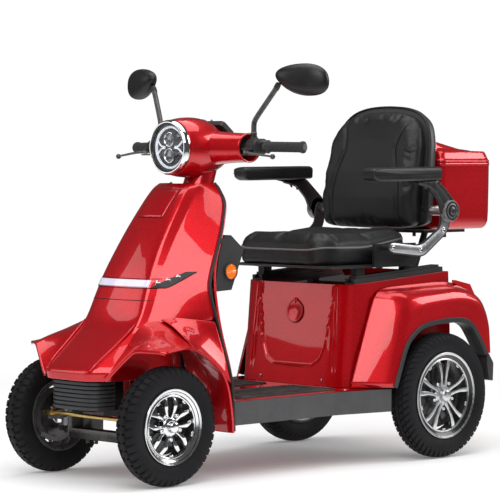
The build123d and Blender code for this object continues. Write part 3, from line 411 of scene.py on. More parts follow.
def make_groups():
    """Node groups shared by the finishes."""
    n, given, out = new_group("Mottle", [("Vector", "v", None), ("Scale", "f", 8.0), ("Dark", "c", None),
                                         ("Light", "c", None), ("Smooth", "f", 0.2), ("Rough", "f", 0.5)],
                              [("Color", "c"), ("Roughness", "f")])
    blotch = n.noise(given["Vector"], given["Scale"], 5.0, 0.6)
    fine = n.noise(given["Vector"], n.math("MULTIPLY", given["Scale"], 9.0), 3.0)
    share = n.ramp(n.math("ADD", n.math("MULTIPLY", blotch, 0.7), n.math("MULTIPLY", fine, 0.3)), 0.36, 0.64)
    n.put(out["Color"], n.mix(share, given["Dark"], given["Light"]))
    spread = n.math("SUBTRACT", given["Rough"], given["Smooth"])
    n.put(out["Roughness"], n.math("ADD", given["Smooth"], n.math("MULTIPLY", share, spread)))

    n, given, out = new_group("Edge wear", [("Vector", "v", None), ("Color", "c", None), ("Worn", "c", None),
                                            ("Amount", "f", 0.3)], [("Color", "c"), ("Mask", "f")])
    point = n.add("ShaderNodeNewGeometry").outputs["Pointiness"]
    broken = n.noise(given["Vector"], 60.0, 4.0, 0.7)
    edge = n.ramp(n.math("ADD", point, n.math("MULTIPLY", n.math("SUBTRACT", broken, 0.5), 0.06)), 0.52, 0.60)
    mask = n.math("MULTIPLY", edge, given["Amount"])
    n.put(out["Color"], n.mix(mask, given["Color"], given["Worn"]))
    n.put(out["Mask"], mask)

    n, given, out = new_group("Dust", [("Vector", "v", None), ("Color", "c", None), ("Amount", "f", 0.1)],
                              [("Color", "c"), ("Mask", "f")])
    up = n.add("ShaderNodeSeparateXYZ")
    n.put(up.inputs[0], n.add("ShaderNodeNewGeometry").outputs["Normal"])
    lying = n.ramp(up.outputs[2], 0.2, 1.0)
    place = n.add("ShaderNodeSeparateXYZ")
    n.put(place.inputs[0], given["Vector"])
    low = n.ramp(place.outputs[2], 0.0, 0.35, 1.0, 0.0)
    cloud = n.ramp(n.noise(given["Vector"], 22.0, 6.0, 0.65), 0.42, 0.75)
    settled = n.math("MAXIMUM", n.math("MULTIPLY", lying, 0.5), n.math("MULTIPLY", low, 0.9))
    mask = n.math("MULTIPLY", n.math("MULTIPLY", settled, cloud), given["Amount"], clamp=True)
    n.put(out["Color"], n.mix(mask, given["Color"], (0.42, 0.39, 0.35, 1)))
    n.put(out["Mask"], mask)

    n, given, out = new_group("Grain", [("Vector", "v", None), ("Scale", "f", 400.0), ("Pits", "f", 0.5)],
                              [("Height", "f")])
    cell = n.add("ShaderNodeTexVoronoi", feature="SMOOTH_F1")
    n.put(cell.inputs["Vector"], given["Vector"])
    n.put(cell.inputs["Scale"], given["Scale"])
    soft = n.noise(given["Vector"], given["Scale"], 4.0, 0.6)
    pits = n.math("MULTIPLY", cell.outputs["Distance"], given["Pits"])
    n.put(out["Height"], n.math("ADD", pits, n.math("MULTIPLY", soft, n.math("SUBTRACT", 1.0, given["Pits"]))))

    n, given, out = new_group("Hide", [("Vector", "v", None), ("Scale", "f", 260.0)],
                              [("Height", "f"), ("Crease", "f")])
    bend = n.add("ShaderNodeVectorMath", operation="ADD")
    n.put(bend.inputs[0], given["Vector"])
    wander = n.add("ShaderNodeTexNoise")
    n.put(wander.inputs["Vector"], given["Vector"])
    n.put(wander.inputs["Scale"], 90.0)
    small = n.add("ShaderNodeVectorMath", operation="SCALE")
    n.put(small.inputs[0], wander.outputs["Color"])
    small.inputs["Scale"].default_value = 0.006
    n.put(bend.inputs[1], small.outputs[0])
    cell = n.add("ShaderNodeTexVoronoi", feature="DISTANCE_TO_EDGE")
    n.put(cell.inputs["Vector"], bend.outputs[0])
    n.put(cell.inputs["Scale"], given["Scale"])
    crease = n.ramp(cell.outputs["Distance"], 0.0, 0.16)
    wrinkle = n.noise(given["Vector"], 14.0, 5.0, 0.6)
    n.put(out["Height"], n.math("ADD", n.math("MULTIPLY", crease, 0.5), n.math("MULTIPLY", wrinkle, 0.8)))
    n.put(out["Crease"], crease)

    n, given, out = new_group("Brushed", [("Vector", "v", None), ("Stretch", "v", None)],
                              [("Height", "f"), ("Streak", "f")])
    long = n.add("ShaderNodeVectorMath", operation="MULTIPLY")
    n.put(long.inputs[0], given["Vector"])
    n.put(long.inputs[1], given["Stretch"])
    streak = n.noise(long.outputs[0], 1.0, 4.0, 0.7)
    n.put(out["Height"], streak)
    n.put(out["Streak"], streak)

    n, given, out = new_group("Flake", [("Vector", "v", None), ("Deep", "c", None), ("Bright", "c", None)],
                              [("Color", "c"), ("Roughness", "f"), ("Sparkle", "f")])
    cell = n.add("ShaderNodeTexVoronoi")
    n.put(cell.inputs["Vector"], given["Vector"])
    cell.inputs["Scale"].default_value = 900.0
    tone = n.add("ShaderNodeSeparateColor")
    n.put(tone.inputs[0], cell.outputs["Color"])
    cloud = n.noise(given["Vector"], 3.0, 4.0)
    share = n.math("ADD", n.math("MULTIPLY", tone.outputs[0], 0.45), n.math("MULTIPLY", cloud, 0.5))
    n.put(out["Color"], n.mix(n.ramp(share, 0.2, 0.8), given["Deep"], given["Bright"]))
    n.put(out["Roughness"], n.ramp(tone.outputs[1], 0.0, 1.0, 0.26, 0.4))
    n.put(out["Sparkle"], tone.outputs[2])


def use_group(n, name, **values):
    """Places a node group in a tree and fills its inputs by name."""
    node = n.add("ShaderNodeGroup")
    node.node_tree = GROUPS[name]
    for label, value in values.items():
        n.put(node.inputs[label], value)
    return node.outputs


def colour(value):
    return (*value, 1.0) if len(value) == 3 else tuple(value)


def finish(name, dark, light=None, smooth=0.3, rough=0.45, metal=0.0, coat=0.0, coat_rough=0.05, scale=9.0,
           grain=500.0, pits=0.5, bump=0.08, depth=0.0004, worn=None, wear=0.0, dust=0.08, brushed=None,
           hide=None, flake=None, glow=None, sheen=0.0, clear=0.0, ior=1.45, alpha=1.0):
    """One material: mottled or flaked colour, worn edges, dust, and a grain, hide or brushed surface."""
    material = bpy.data.materials.new(name)
    material.use_nodes = True
    n = Nodes(material.node_tree)
    shader = material.node_tree.nodes["Principled BSDF"]
    place = n.add("ShaderNodeTexCoord").outputs["Object"]
    dark = colour(dark)
    light = colour(light) if light else tuple(min(1, c * 1.18 + 0.004) for c in dark[:3]) + (1.0,)
    if flake:
        paint = use_group(n, "Flake", Vector=place, Deep=dark, Bright=light)
        shade, roughness = paint["Color"], paint["Roughness"]
    else:
        base = use_group(n, "Mottle", Vector=place, Scale=scale, Dark=dark, Light=light, Smooth=smooth,
                         Rough=rough)
        shade, roughness = base["Color"], base["Roughness"]
    if wear:
        edge = use_group(n, "Edge wear", Vector=place, Color=shade, Worn=colour(worn), Amount=wear)
        shade = edge["Color"]
    if dust:
        settled = use_group(n, "Dust", Vector=place, Color=shade, Amount=dust)
        shade = settled["Color"]
        roughness = n.math("ADD", roughness, n.math("MULTIPLY", settled["Mask"], 0.5), clamp=True)
    if brushed:
        streak = use_group(n, "Brushed", Vector=place, Stretch=brushed)
        height = streak["Height"]
        roughness = n.math("ADD", roughness,
                           n.math("MULTIPLY", n.math("SUBTRACT", streak["Streak"], 0.5), 0.22), clamp=True)
    elif hide:
        skin = use_group(n, "Hide", Vector=place, Scale=hide)
        height = skin["Height"]
        roughness = n.math("ADD", roughness, n.math("MULTIPLY", n.math("SUBTRACT", 1.0, skin["Crease"]), 0.15),
                           clamp=True)
    else:
        height = use_group(n, "Grain", Vector=place, Scale=grain, Pits=pits)["Height"]
    relief = n.add("ShaderNodeBump")
    relief.inputs["Strength"].default_value = bump
    relief.inputs["Distance"].default_value = depth
    n.put(relief.inputs["Height"], height)
    n.put(shader.inputs["Normal"], relief.outputs[0])
    n.put(shader.inputs["Base Color"], shade)
    n.put(shader.inputs["Roughness"], roughness)
    shader.inputs["Metallic"].default_value = metal
    shader.inputs["Coat Weight"].default_value = coat
    shader.inputs["Coat Roughness"].default_value = coat_rough
    shader.inputs["IOR"].default_value = ior
    shader.inputs["Sheen Weight"].default_value = sheen
    shader.inputs["Transmission Weight"].default_value = clear
    shader.inputs["Alpha"].default_value = alpha
    if glow:
        shader.inputs["Emission Color"].default_value = colour(glow[0])
        shader.inputs["Emission Strength"].default_value = glow[1]
    material.diffuse_color = dark
    FINISH[name] = material
    return material


BLACK_WORN = (0.20, 0.20, 0.21)
STEEL_WORN = (0.55, 0.54, 0.52)


def make_finishes(colours):
    """Every finish of the scooter, by its maker's name."""
    deep = tuple(colours.body)
    finish("body_red", deep, tuple(colours.body_flake), metal=0.55, coat=1.0, coat_rough=0.02, flake=True,
           grain=150.0, pits=0.1, bump=0.04, depth=0.0006, dust=0.0, ior=1.35)
    finish("frame_black", (0.012, 0.012, 0.013), smooth=0.32, rough=0.5, grain=700, bump=0.2, worn=STEEL_WORN,
           wear=0.35, dust=0.35)
    finish("satin_black", (0.009, 0.009, 0.010), (0.015, 0.015, 0.016), smooth=0.34, rough=0.48, grain=1100,
           bump=0.18, worn=BLACK_WORN, wear=0.12, dust=0.03)
    finish("skirt_grey", (0.009, 0.009, 0.010), (0.014, 0.014, 0.016), smooth=0.42, rough=0.56, grain=900,
           bump=0.2, worn=BLACK_WORN, wear=0.25, dust=0.12)
    finish("grille_grey", (0.016, 0.017, 0.019), (0.026, 0.027, 0.030), smooth=0.4, rough=0.55, grain=800,
           bump=0.2, worn=BLACK_WORN, wear=0.15, dust=0.05)
    finish("mat_rubber", (0.016, 0.016, 0.016), (0.03, 0.03, 0.03), smooth=0.6, rough=0.85, grain=600,
           bump=0.35, dust=0.3)
    # Near-black finish for painted shade: it darkens gaps, seams, grooves, holes and the insides of openings.
    finish("painted_shade_dark", (0.003, 0.002, 0.002), smooth=0.6, rough=0.8, dust=0.0)
    # Reflector amber with a faint emission: a painted glow, since the reflectors are no lamp.
    finish("amber", (0.75, 0.12, 0.004), (0.95, 0.22, 0.01), smooth=0.08, rough=0.18, coat=1.0, grain=300,
           bump=0.1, glow=((1.0, 0.25, 0.02), 0.12), dust=0.02)
    finish("lamp_white", (0.66, 0.63, 0.76), (0.76, 0.73, 0.86), smooth=0.1, rough=0.2, coat=1.0, grain=300,
           bump=0.06, glow=((0.8, 0.76, 0.95), 0.15), dust=0.0)
    finish("halo_white", (0.8, 0.82, 0.86), smooth=0.1, rough=0.2, coat=1.0, glow=((0.85, 0.9, 1.0), 0.5),
           dust=0.0)
    finish("tail_red", (0.45, 0.006, 0.008), (0.65, 0.012, 0.012), smooth=0.08, rough=0.16, coat=1.0, grain=260,
           bump=0.15, dust=0.02)
    finish("battery_case", (0.03, 0.032, 0.036), smooth=0.45, rough=0.6, grain=600, bump=0.25, dust=0.4)
    finish("cast_alloy", (0.30, 0.30, 0.31), (0.42, 0.42, 0.43), smooth=0.38, rough=0.6, metal=0.85, grain=350,
           bump=0.35, worn=(0.7, 0.7, 0.7), wear=0.4, dust=0.3)
    finish("bright_steel", (0.50, 0.50, 0.50), (0.62, 0.62, 0.61), smooth=0.22, rough=0.4, metal=1.0, grain=500,
           bump=0.1, dust=0.15)
    finish("bar_steel", (0.02, 0.02, 0.022), smooth=0.25, rough=0.4, metal=0.3, coat=0.4, worn=STEEL_WORN,
           wear=0.3)
    finish("chrome", (0.78, 0.79, 0.80), (0.86, 0.87, 0.88), smooth=0.04, rough=0.12, metal=1.0, grain=200,
           bump=0.03, dust=0.04)
    finish("rim_chrome", (0.74, 0.75, 0.77), (0.84, 0.85, 0.86), smooth=0.06, rough=0.2, metal=1.0, grain=160,
           bump=0.05, dust=0.12)
    finish("rim_machined", (0.58, 0.59, 0.60), (0.70, 0.71, 0.72), smooth=0.2, rough=0.38, metal=1.0, grain=900,
           bump=0.12, dust=0.12)
    finish("rim_black", (0.006, 0.006, 0.007), smooth=0.2, rough=0.35, coat=0.4, worn=STEEL_WORN, wear=0.1,
           dust=0.04)
    finish("disc_steel", (0.10, 0.10, 0.105), (0.16, 0.16, 0.165), smooth=0.25, rough=0.42, metal=1.0,
           brushed=(40, 900, 900), bump=0.2, dust=0.2)
    finish("clear_lens", (0.97, 0.98, 1.0), (1, 1, 1), smooth=0.0, rough=0.04, clear=1.0, ior=1.3, bump=0.01,
           dust=0.0)
    finish("lamp_inner", (0.012, 0.012, 0.014), (0.022, 0.022, 0.025), smooth=0.2, rough=0.35, metal=0.5,
           bump=0.05, dust=0.0)
    finish("projector_glass", (0.10, 0.11, 0.13), (0.20, 0.21, 0.24), smooth=0.03, rough=0.08, metal=0.6,
           coat=1.0, bump=0.02, dust=0.0)
    finish("grip_rubber", (0.02, 0.02, 0.021), (0.036, 0.036, 0.038), smooth=0.5, rough=0.75, grain=1200,
           bump=0.3, dust=0.05)
    finish("lever_black", (0.014, 0.014, 0.015), smooth=0.25, rough=0.4, coat=0.3, worn=STEEL_WORN, wear=0.4)
    finish("button_red", (0.45, 0.01, 0.01), smooth=0.3, rough=0.4, dust=0.0)
    finish("switch_blue", (0.02, 0.10, 0.42), smooth=0.3, rough=0.4, dust=0.0)
    finish("switch_yellow", (0.75, 0.42, 0.02), smooth=0.3, rough=0.4, dust=0.0)
    finish("mirror_glass", (0.78, 0.80, 0.82), (0.82, 0.84, 0.86), smooth=0.01, rough=0.05, metal=1.0,
           bump=0.01, dust=0.02)
    finish("gold_zinc", (0.55, 0.36, 0.10), (0.70, 0.52, 0.20), smooth=0.22, rough=0.4, metal=1.0, scale=25,
           grain=500, bump=0.15, dust=0.2)
    finish("tyre_rubber", (0.006, 0.006, 0.007), (0.012, 0.012, 0.014), smooth=0.5, rough=0.72, grain=500,
           bump=0.3, dust=0.02, ior=1.25)
    finish("black_leather", (0.007, 0.007, 0.007), (0.013, 0.013, 0.014), smooth=0.33, rough=0.46, hide=260.0,
           bump=0.4, depth=0.0007, worn=(0.05, 0.05, 0.05), wear=0.1, dust=0.02)
    finish("piping_grey", (0.12, 0.118, 0.115), (0.17, 0.165, 0.16), smooth=0.5, rough=0.65, hide=700.0,
           bump=0.3, dust=0.05)
    finish("stitch_black", (0.03, 0.03, 0.03), smooth=0.6, rough=0.8, dust=0.0)
    finish("back_shell", (0.018, 0.019, 0.021), (0.026, 0.027, 0.030), smooth=0.34, rough=0.46, grain=1000,
           bump=0.14, worn=BLACK_WORN, wear=0.2, dust=0.06)
    finish("brushed_alloy", (0.52, 0.53, 0.55), (0.64, 0.65, 0.67), smooth=0.26, rough=0.4, metal=1.0,
           brushed=(40, 30, 1600), bump=0.25, dust=0.05)


NODE_FINISH = {"arch_trims": "satin_black", "armrest_left": "satin_black", "armrest_right": "satin_black",
               "backrest_cushion": "black_leather", "backrest_shell": "back_shell",
               "battery_packs": "battery_case", "body_screws": "bright_steel",
               "brake_lever_left": "lever_black", "brake_lever_right": "lever_black", "charge_flap": "body_red",
               "chassis_frame": "frame_black", "dash_panel": "satin_black", "floor_board": "body_red",
               "floor_mats": "mat_rubber", "front_fairing": "body_red", "front_lamps": "lamp_white",
               "front_rim_left": "rim_chrome", "front_rim_right": "rim_chrome",
               "front_tyre_left": "tyre_rubber", "front_tyre_right": "tyre_rubber", "handlebar": "bar_steel",
               "handlebar_cowl": "body_red", "headlamp_bezel": "chrome", "headlamp_lens": "clear_lens",
               "headlamp_unit": "lamp_inner", "horn_button": "button_red", "ignition_key": "bright_steel",
               "inner_shield": "body_red", "left_grip": "grip_rubber", "mirror_glass_left": "mirror_glass",
               "mirror_glass_right": "mirror_glass", "mirror_head_left": "satin_black",
               "mirror_head_right": "satin_black", "mirror_stems": "lever_black",
               "motor_controller": "cast_alloy", "nose_grille": "grille_grey", "rear_axle": "frame_black",
               "rear_fenders": "body_red", "rear_rack": "frame_black", "rear_rim_left": "rim_machined",
               "rear_rim_right": "rim_machined", "rear_tyre_left": "tyre_rubber",
               "rear_tyre_right": "tyre_rubber", "seat_box": "body_red", "seat_cushion": "black_leather",
               "seat_links": "brushed_alloy", "seat_pan": "satin_black", "seat_rails": "satin_black",
               "side_pods": "satin_black", "side_reflectors": "amber", "side_skirts": "skirt_grey",
               "steering_column": "frame_black", "steering_knuckle_left": "cast_alloy",
               "steering_knuckle_right": "cast_alloy", "switch_pods": "satin_black", "tail_lamps": "tail_red",
               "throttle_grip": "grip_rubber", "tie_rod": "gold_zinc", "top_box": "body_red",
               "top_box_lid": "body_red",}

# ------------------------------------------------------------------ front body
# Half sections of the leg shield and nose: height, then centre, shoulder, crease and rear edge as (x, y).
SHIELD = np.array([
    (902, 0, -428, 70, -420, 88, -398, 100, -342),
    (888, 0, -455, 76, -446, 94, -410, 118, -344),
    (842, 0, -496, 82, -485, 102, -441, 165, -358),
    (749, 0, -564, 92, -552, 113, -511, 200, -408),
    (638, 0, -632, 104, -618, 128, -582, 228, -475),
    (580, 0, -656, 112, -644, 136, -606, 238, -496),
    (480, 0, -694, 122, -684, 138, -655, 262, -482),
    (410, 0, -778, 112, -773, 140, -736, 150, -560),
    (345, 0, -866, 100, -863, 146, -806, 148, -560),
    (314, 0, -863, 98, -859, 145, -803, 147, -560)], float)
SHIELD_SOFT_ROWS = [0, 0.5, 0.5, 0.5, 0.5, 0.5, 0.42, 0.4, 0.3, 0]
SHIELD_SOFT_COLUMNS = [0, 0.10, 0.3, 0.5, 0.3, 0.10, 0]


def shield_net():
    """Control net of the shield: seven columns from the right edge over the centre to the left one."""
    rows = []
    for z, cx, cy, sx, sy, kx, ky, ex, ey in SHIELD:
        half = [(ex, ey, z), (kx, ky, z), (sx, sy, z)]
        rows.append([(-x, y, h) for x, y, h in half] + [(cx, cy, z)] + half[::-1])
    return np.array(rows)


def shield_at(heights, spans):
    """Points of the shield's skin: a row of sideways distances per height, y read off the net there."""
    control = shield_net()
    dense = steps(0, len(control) - 1, 40)
    level = line_weights(len(control), dense, SHIELD_SOFT_ROWS) @ control[:, 3, 2]
    down = np.interp(-np.asarray(heights, float), -level, dense)
    rows = net(control, down, steps(0, 6, 60), SHIELD_SOFT_ROWS, SHIELD_SOFT_COLUMNS)
    y = np.stack([np.interp(span, row[:, 0], row[:, 1]) for span, row in zip(spans, rows)])
    return np.stack([np.asarray(spans, float), y, np.broadcast_to(np.reshape(heights, (-1, 1)), y.shape)],
                    axis=-1)


def shield_patch(low, high, left, right, lift, rows=40, columns=48, edge=0.08, sink=1.5):
    """Raised panel on the shield: skin point + normal times (lift - sink) eased up from its border.

    left and right give the panel's sideways limits at a share 0 (low) to 1 (high) of its height.
    """
    share = np.linspace(0, 1, rows)
    across = np.linspace(0, 1, columns)
    a, b = left(share)[:, None], right(share)[:, None]
    grid = shield_at(high + (low - high) * (1 - share), a + (b - a) * across)
    normal = normals_of(grid)
    normal *= np.sign(-normal[..., 1:2].mean())
    border = (ease(share / edge) * ease((1 - share) / edge))[:,
                                                             None] * (ease(across / edge)
                                                                      * ease((1 - across) / edge))
    return shell(grid + normal * (-sink + (lift + sink) * border ** 0.6)[..., None], inside=(0, 0, 650))


# Fender over a front wheel: stations out from the middle, each a profile (y, z) from front edge to floor.
WING_X = [137, 160, 200, 230, 300, 311]
WING = np.array([[(-832, 318), (-752, 400), (-694, 472), (-606, 504), (-536, 462), (-492, 330), (-474, 220),
                  (-464, 148)], [(-824, 340), (-752, 408), (-690, 468), (-604, 494), (-530, 432), (-489, 318),
                                 (-471, 212), (-464, 148)], [(-806, 384), (-750, 424), (-684, 458), (-604, 476),
                                                             (-522, 402), (-482, 303), (-468, 206),
                                                             (-464, 148)], [(-792, 413), (-745, 432),
                                                                            (-682, 447), (-606, 456),
                                                                            (-516, 378), (-479, 300),
                                                                            (-466, 204), (-464, 148)],
                 [(-751, 409), (-700, 414), (-652, 421), (-610, 411), (-521, 354), (-487, 292), (-470, 204),
                  (-467, 148)], [(-742, 405), (-698, 410), (-651, 416), (-609, 405), (-519, 351), (-485, 291),
                                 (-469, 204), (-466, 148)]], float)
WING_SOFT = [0, 0.3, 0.45, 0.45, 0.45, 0.4, 0.5, 0]


def wing_grid():
    """Points of the left fender over its net of stations and profiles."""
    control = np.concatenate([np.broadcast_to(np.reshape(WING_X, (-1, 1, 1)), (6, 8, 1)), WING], axis=2)
    return net(control, steps(0, 5, 12), steps(0, 7, 14), [0, 0.4, 0.4, 0.3, 0.25, 0], WING_SOFT)


def build_front_body():
    """Leg shield, nose, fenders over the front wheels, hatch, nose ridges and edge trims."""
    control = shield_net()
    skin = net(control, steps(0, 9, 16), steps(0, 6, 14), SHIELD_SOFT_ROWS, SHIELD_SOFT_COLUMNS)
    inside = (0, -300, 560)
    wing = wing_grid()
    wing_shell = shell(wing, inside=(225, -620, 250))
    piece("front_body_skin", [shell(skin, inside=inside)], "body_red", "chassis",
          ["front_fairing"], sharp=50, wall=3.0)
    piece("front_wings", both(wing_shell), "body_red", "chassis", sharp=50, wall=4.0)
    lip = wing[-1, 3:]
    outer = lip + (0.4, 0, 0)
    roll = swept(outer, circle(4.2, 10, 1.5), X)
    front = wing[:, 0][2:] + (0, 2, -3)
    piece("wing_lips", both(swept(front, circle(3.6, 10, 1.6), Z)) + both(roll), "body_red", "chassis")
    edge = np.array([(100, -341, 902), (118, -343, 888), (165, -357, 842), (200, -407, 749), (228, -474, 638),
                     (238, -495, 580), (262, -481, 480), (277, -470, 400), (302, -458, 310), (309, -457, 152)],
                    float)
    piece("shield_edge_trim", both(swept(soft_line(edge, 10, 0.4), circle(4.5, 10), X)), "satin_black",
          "chassis")
    cheek = net([[(142, -622, 498), (180, -588, 500), (222, -541, 493), (259, -490, 484)],
                 [(190, -618, 484), (215, -592, 478), (248, -548, 462), (270, -484, 444)],
                 [(240, -612, 452), (260, -594, 444), (280, -554, 420), (286, -474, 385)],
                 [(300, -611, 411), (304, -586, 397), (307, -540, 362), (301, -468, 318)],
                 [(308, -604, 402), (311, -580, 388), (311, -534, 350), (306, -466, 300)]],
                steps(0, 4, 12), steps(0, 3, 14), [0, 0.5, 0.5, 0.35, 0], [0, 0.5, 0.5, 0])
    piece("wing_cheeks", both(shell(cheek, inside=(200, -450, 350))), "body_red", "chassis",
          sharp=50, wall=3.0)
    hatch = shield_patch(797, 884, lambda s: -56 - 2 * s, lambda s: 56 + 2 * s, 3.0, edge=0.06)
    # A dark outline just round the raised hatch: painted shade of the gap at its edge.
    seam = shield_patch(794, 885, lambda s: -58.5 - 2 * s, lambda s: 58.5 + 2 * s, 0.35, edge=0.01, sink=0.4)
    piece("front_hatch", [hatch], "body_red", "chassis", sharp=60)
    piece("hatch_gap_shade", [seam], "painted_shade_dark", "chassis")
    ridge = shield_at([484, 460, 430, 400, 370, 345], [[x] for x in (120, 119, 116, 111, 105,
                                                                     100)])[:, 0] + (0, -1, 0)
    ridge = soft_line(ridge, 8, 0.5)
    size = 0.35 + 0.65 * ease(np.linspace(0, 4, len(ridge))) * ease(np.linspace(4, 0, len(ridge)) + 0.3)
    piece("nose_ridges", both(swept(ridge, circle(7, 14, 0.8), X, size)), "body_red", "chassis")
    # Thin dark lines across the centre panel: painted shade standing for its steps and joints.
    strips = []
    for height in (613.5, 585.0, 549.0):
        line = shield_at([height], [np.linspace(-133, 133, 80)])[0] + (0, -0.2, 0)
        strips.append(swept(line, circle(1.1, 6), Z))
    piece("shield_step_shade_lines", strips, "painted_shade_dark", "chassis")


# Rider's panel of the shield: height, edge x, edge y and how far back its spine stands.
RIDER_PANEL = [(896, 108, -343, -300), (842, 164, -358, -276), (749, 199, -408, -300), (638, 227, -475, -344),
               (480, 261, -482, -398), (330, 296, -463, -424), (246, 301, -458, -436)]


def build_rider_panel():
    """Rider's side of the shield: a smooth panel swelling back round the head tube, closed at its top."""
    rows = [[(100, -345, 897), (97, -352, 897), (70, -404, 897), (40, -420, 897)]]
    for z, edge_x, edge_y, back in RIDER_PANEL:
        rows.append([(edge_x, edge_y + 3, z), (edge_x, edge_y + 13, z),
                     (edge_x * 0.62, (edge_y + back) / 2 + 12, z), (62, back, z)])
    rows = [row + [(-x, y, z) for x, y, z in row[::-1]] for row in rows]
    panel = net(rows, steps(0, 7, 12), steps(0, 7, 12), [0, 0.15, 0.4, 0.5, 0.5, 0.5, 0.5, 0],
                [0, 0.2, 0.5, 0.5, 0.5, 0.5, 0.2, 0])
    piece("rider_panel", [shell(panel, inside=(0, -460, 560))], "body_red", "chassis",
          ["inner_shield"], sharp=50, wall=3.0)


# ------------------------------------------------------------------ lamps on the shield and the grille
def build_front_lamps():
    """Light bar across the shield and the black angular cluster with its reflectors at each end."""
    bar = shield_patch(588, 611, lambda s: 0 * s - 116, lambda s: 0 * s + 116, 3.0, rows=16, columns=90,
                       edge=0.03, sink=1.0)
    piece("light_bar", [bar], "lamp_white", "chassis", ["front_lamps"], sharp=60)
    cluster = shield_patch(584, 636, lambda s: 115 + 62 * s ** 1.25, lambda s: 146 + 54 * s ** 0.8, 4.0,
                           rows=24, columns=30, edge=0.05, sink=1.2)
    piece("lamp_clusters", both(cluster), "satin_black", "chassis", sharp=60)
    glints = []
    for height, span in ((600, 128), (608, 146), (618, 164)):
        spot = shield_at([height], [[span - 5, span, span + 5]])[0]
        out = np.cross(spot[2] - spot[0], Z)
        out = -out / np.linalg.norm(out) if out[1] > 0 else out / np.linalg.norm(out)
        ring = [(2.2, 7.5), (4.6, 7.4), (5.2, 6.6), (4.2, 5.6), (3.0, 2.0)]
        glints += both(turned([(a, b * 1.25) for a, b in ring], spot[1], out, 24))
    piece("cluster_reflectors", glints, "chrome", "chassis")


def build_grille():
    """Slatted air intake under the nose: slats carried round a bowed line over a dark sheet of painted shade.
    """
    half = [(0, -845), (66, -842), (99, -829), (105, -796), (98, -757)]
    plan = np.array([(-x, y) for x, y in half[:0:-1]] + half, float)
    slats = []
    for k, height in enumerate(np.linspace(230, 305, 7)):
        grow = 1 + 0.02 * k / 5
        line = np.column_stack([plan * (grow, 1), np.full(len(plan), height)])
        if k == 0:
            line = line + (0, -2, 0)
        path = soft_line(line, 8, [0, 0.4, 0.45, 0.3, 0.5, 0.3, 0.45, 0.4, 0])
        blade = rounded([(-6, -5.4), (3, -5.4), (5, 4.2), (-6, 5.4)], 1.4, 3)
        slats.append(swept(path, blade, Z))
    piece("grille_slats", slats, "grille_grey", "chassis", ["nose_grille"])
    # Near-black sheet behind the slats: painted shade inside the intake.
    heights = np.array([222, 312.0])
    back = np.stack([soft_line(np.column_stack([plan * 0.95 + (0, 4), np.full(len(plan), h)]), 8, 0.4)
                     for h in heights])
    piece("grille_shade_sheet", [shell(back, inside=(0, -700, 265))], "painted_shade_dark", "chassis", wall=2.0)


# ------------------------------------------------------------------ seat box and rear fenders
BOX_LOW = np.array([(-264, 586), (-264, 200), (-247, 122), (-228, 102), (-206, 96), (-150, 93), (0, 90),
                    (150, 93), (206, 96), (228, 102), (247, 122), (264, 200), (264, 586)], float)
BOX_HIGH = np.array([(-250, 586), (-252, 200), (-240, 146), (-222, 134), (-192, 128), (-150, 126), (0, 124),
                     (150, 126), (192, 128), (222, 134), (240, 146), (252, 200), (250, 586)], float)
PANEL = [(-186, 400), (186, 400), (136, 122), (120, 86), (86, 64), (-86, 64), (-120, 86), (-136, 122)]


def box_top(y):
    """Height of the seat box's sloping top."""
    return 573 + (y - 128) * 31 / 458


def build_seat_box(sizes):
    """Seat box with its ridged corners, recessed front panel and fluted flanks, and its sloping lid."""
    at = np.concatenate([steps(0, 3, 12)[:-1], steps(3, 5, 14)[:-1], steps(5, 7, 80)[:-1], steps(7, 9, 14)[:-1],
                         steps(9, 12, 12)])
    soft = [0, 0.3, 0.3, 0.3, 0.4, 0.3, 0.5, 0.3, 0.4, 0.3, 0.3, 0.3, 0]
    weights = line_weights(13, at, soft)
    low, high = weights @ BOX_LOW, weights @ BOX_HIGH
    v = np.linspace(0, 1, 190)[:, None]
    z = 244 + v * (box_top(high[None, :, 1]) - 0.8 - 244)
    share = ((z - 244) / 366)[..., None]
    grid = np.concatenate([low + share * (high - low), z[..., None]], axis=2)
    x, h = grid[..., 0], grid[..., 2] - 244
    front = ease((150 - grid[..., 1]) / 20)
    depth = inside_depth(x, h, PANEL)
    pressed = ease(depth / 5.0 + 0.5) * sizes.panel_depth * 1000 - 1.8 * np.exp(-((depth + 3.5) / 2.8) ** 2)
    flute = np.zeros_like(x)
    for column in (-196, -182, 182, 196):
        reach = ease((h - 40) / 30) * ease((330 - h) / 30)
        flute += 3.2 * np.exp(-((x - column * (1 - 0.0003 * h)) / 2.6) ** 2) * reach
    grid[..., 1] += (pressed + flute) * front
    side = ease((grid[..., 1] - 200) / 10) * ease((268 - grid[..., 1] - (h - 60) * 0.02) / 10)
    grid[..., 0] -= np.sign(x) * 2.5 * side * ease((h - 10) / 20) * ease((290 - h) / 20)
    walls = shell(grid, inside=(0, 350, 400))
    rim = grid[-1]
    s = np.linspace(0, 1, 14)[:, None, None]
    middle = np.stack([rim[:, 0] * 0, np.clip(rim[:, 1] * 0 + 350, 0, 600), box_top(350) + rim[:, 0] * 0],
                      axis=-1)
    inner = rim[None] + (middle[None] - rim[None]) * np.concatenate([[0, 0.012],
                                                                     np.linspace(0.03, 1, 12)])[:, None, None]
    inner[..., 2] = box_top(inner[..., 1]) - 0.8 + 0.8 * ease(s[..., 0] * 30)
    lid = shell(inner, inside=(0, 350, 300))
    back = np.stack([np.stack([grid[:, 0], grid[:, -1]], axis=1)])[0]
    panel = shell(back, inside=(0, 350, 400))
    piece("seat_box_walls", [walls], "body_red", "chassis", ["seat_box"], sharp=32)
    piece("seat_box_lid", [lid, panel], "body_red", "chassis", sharp=32)


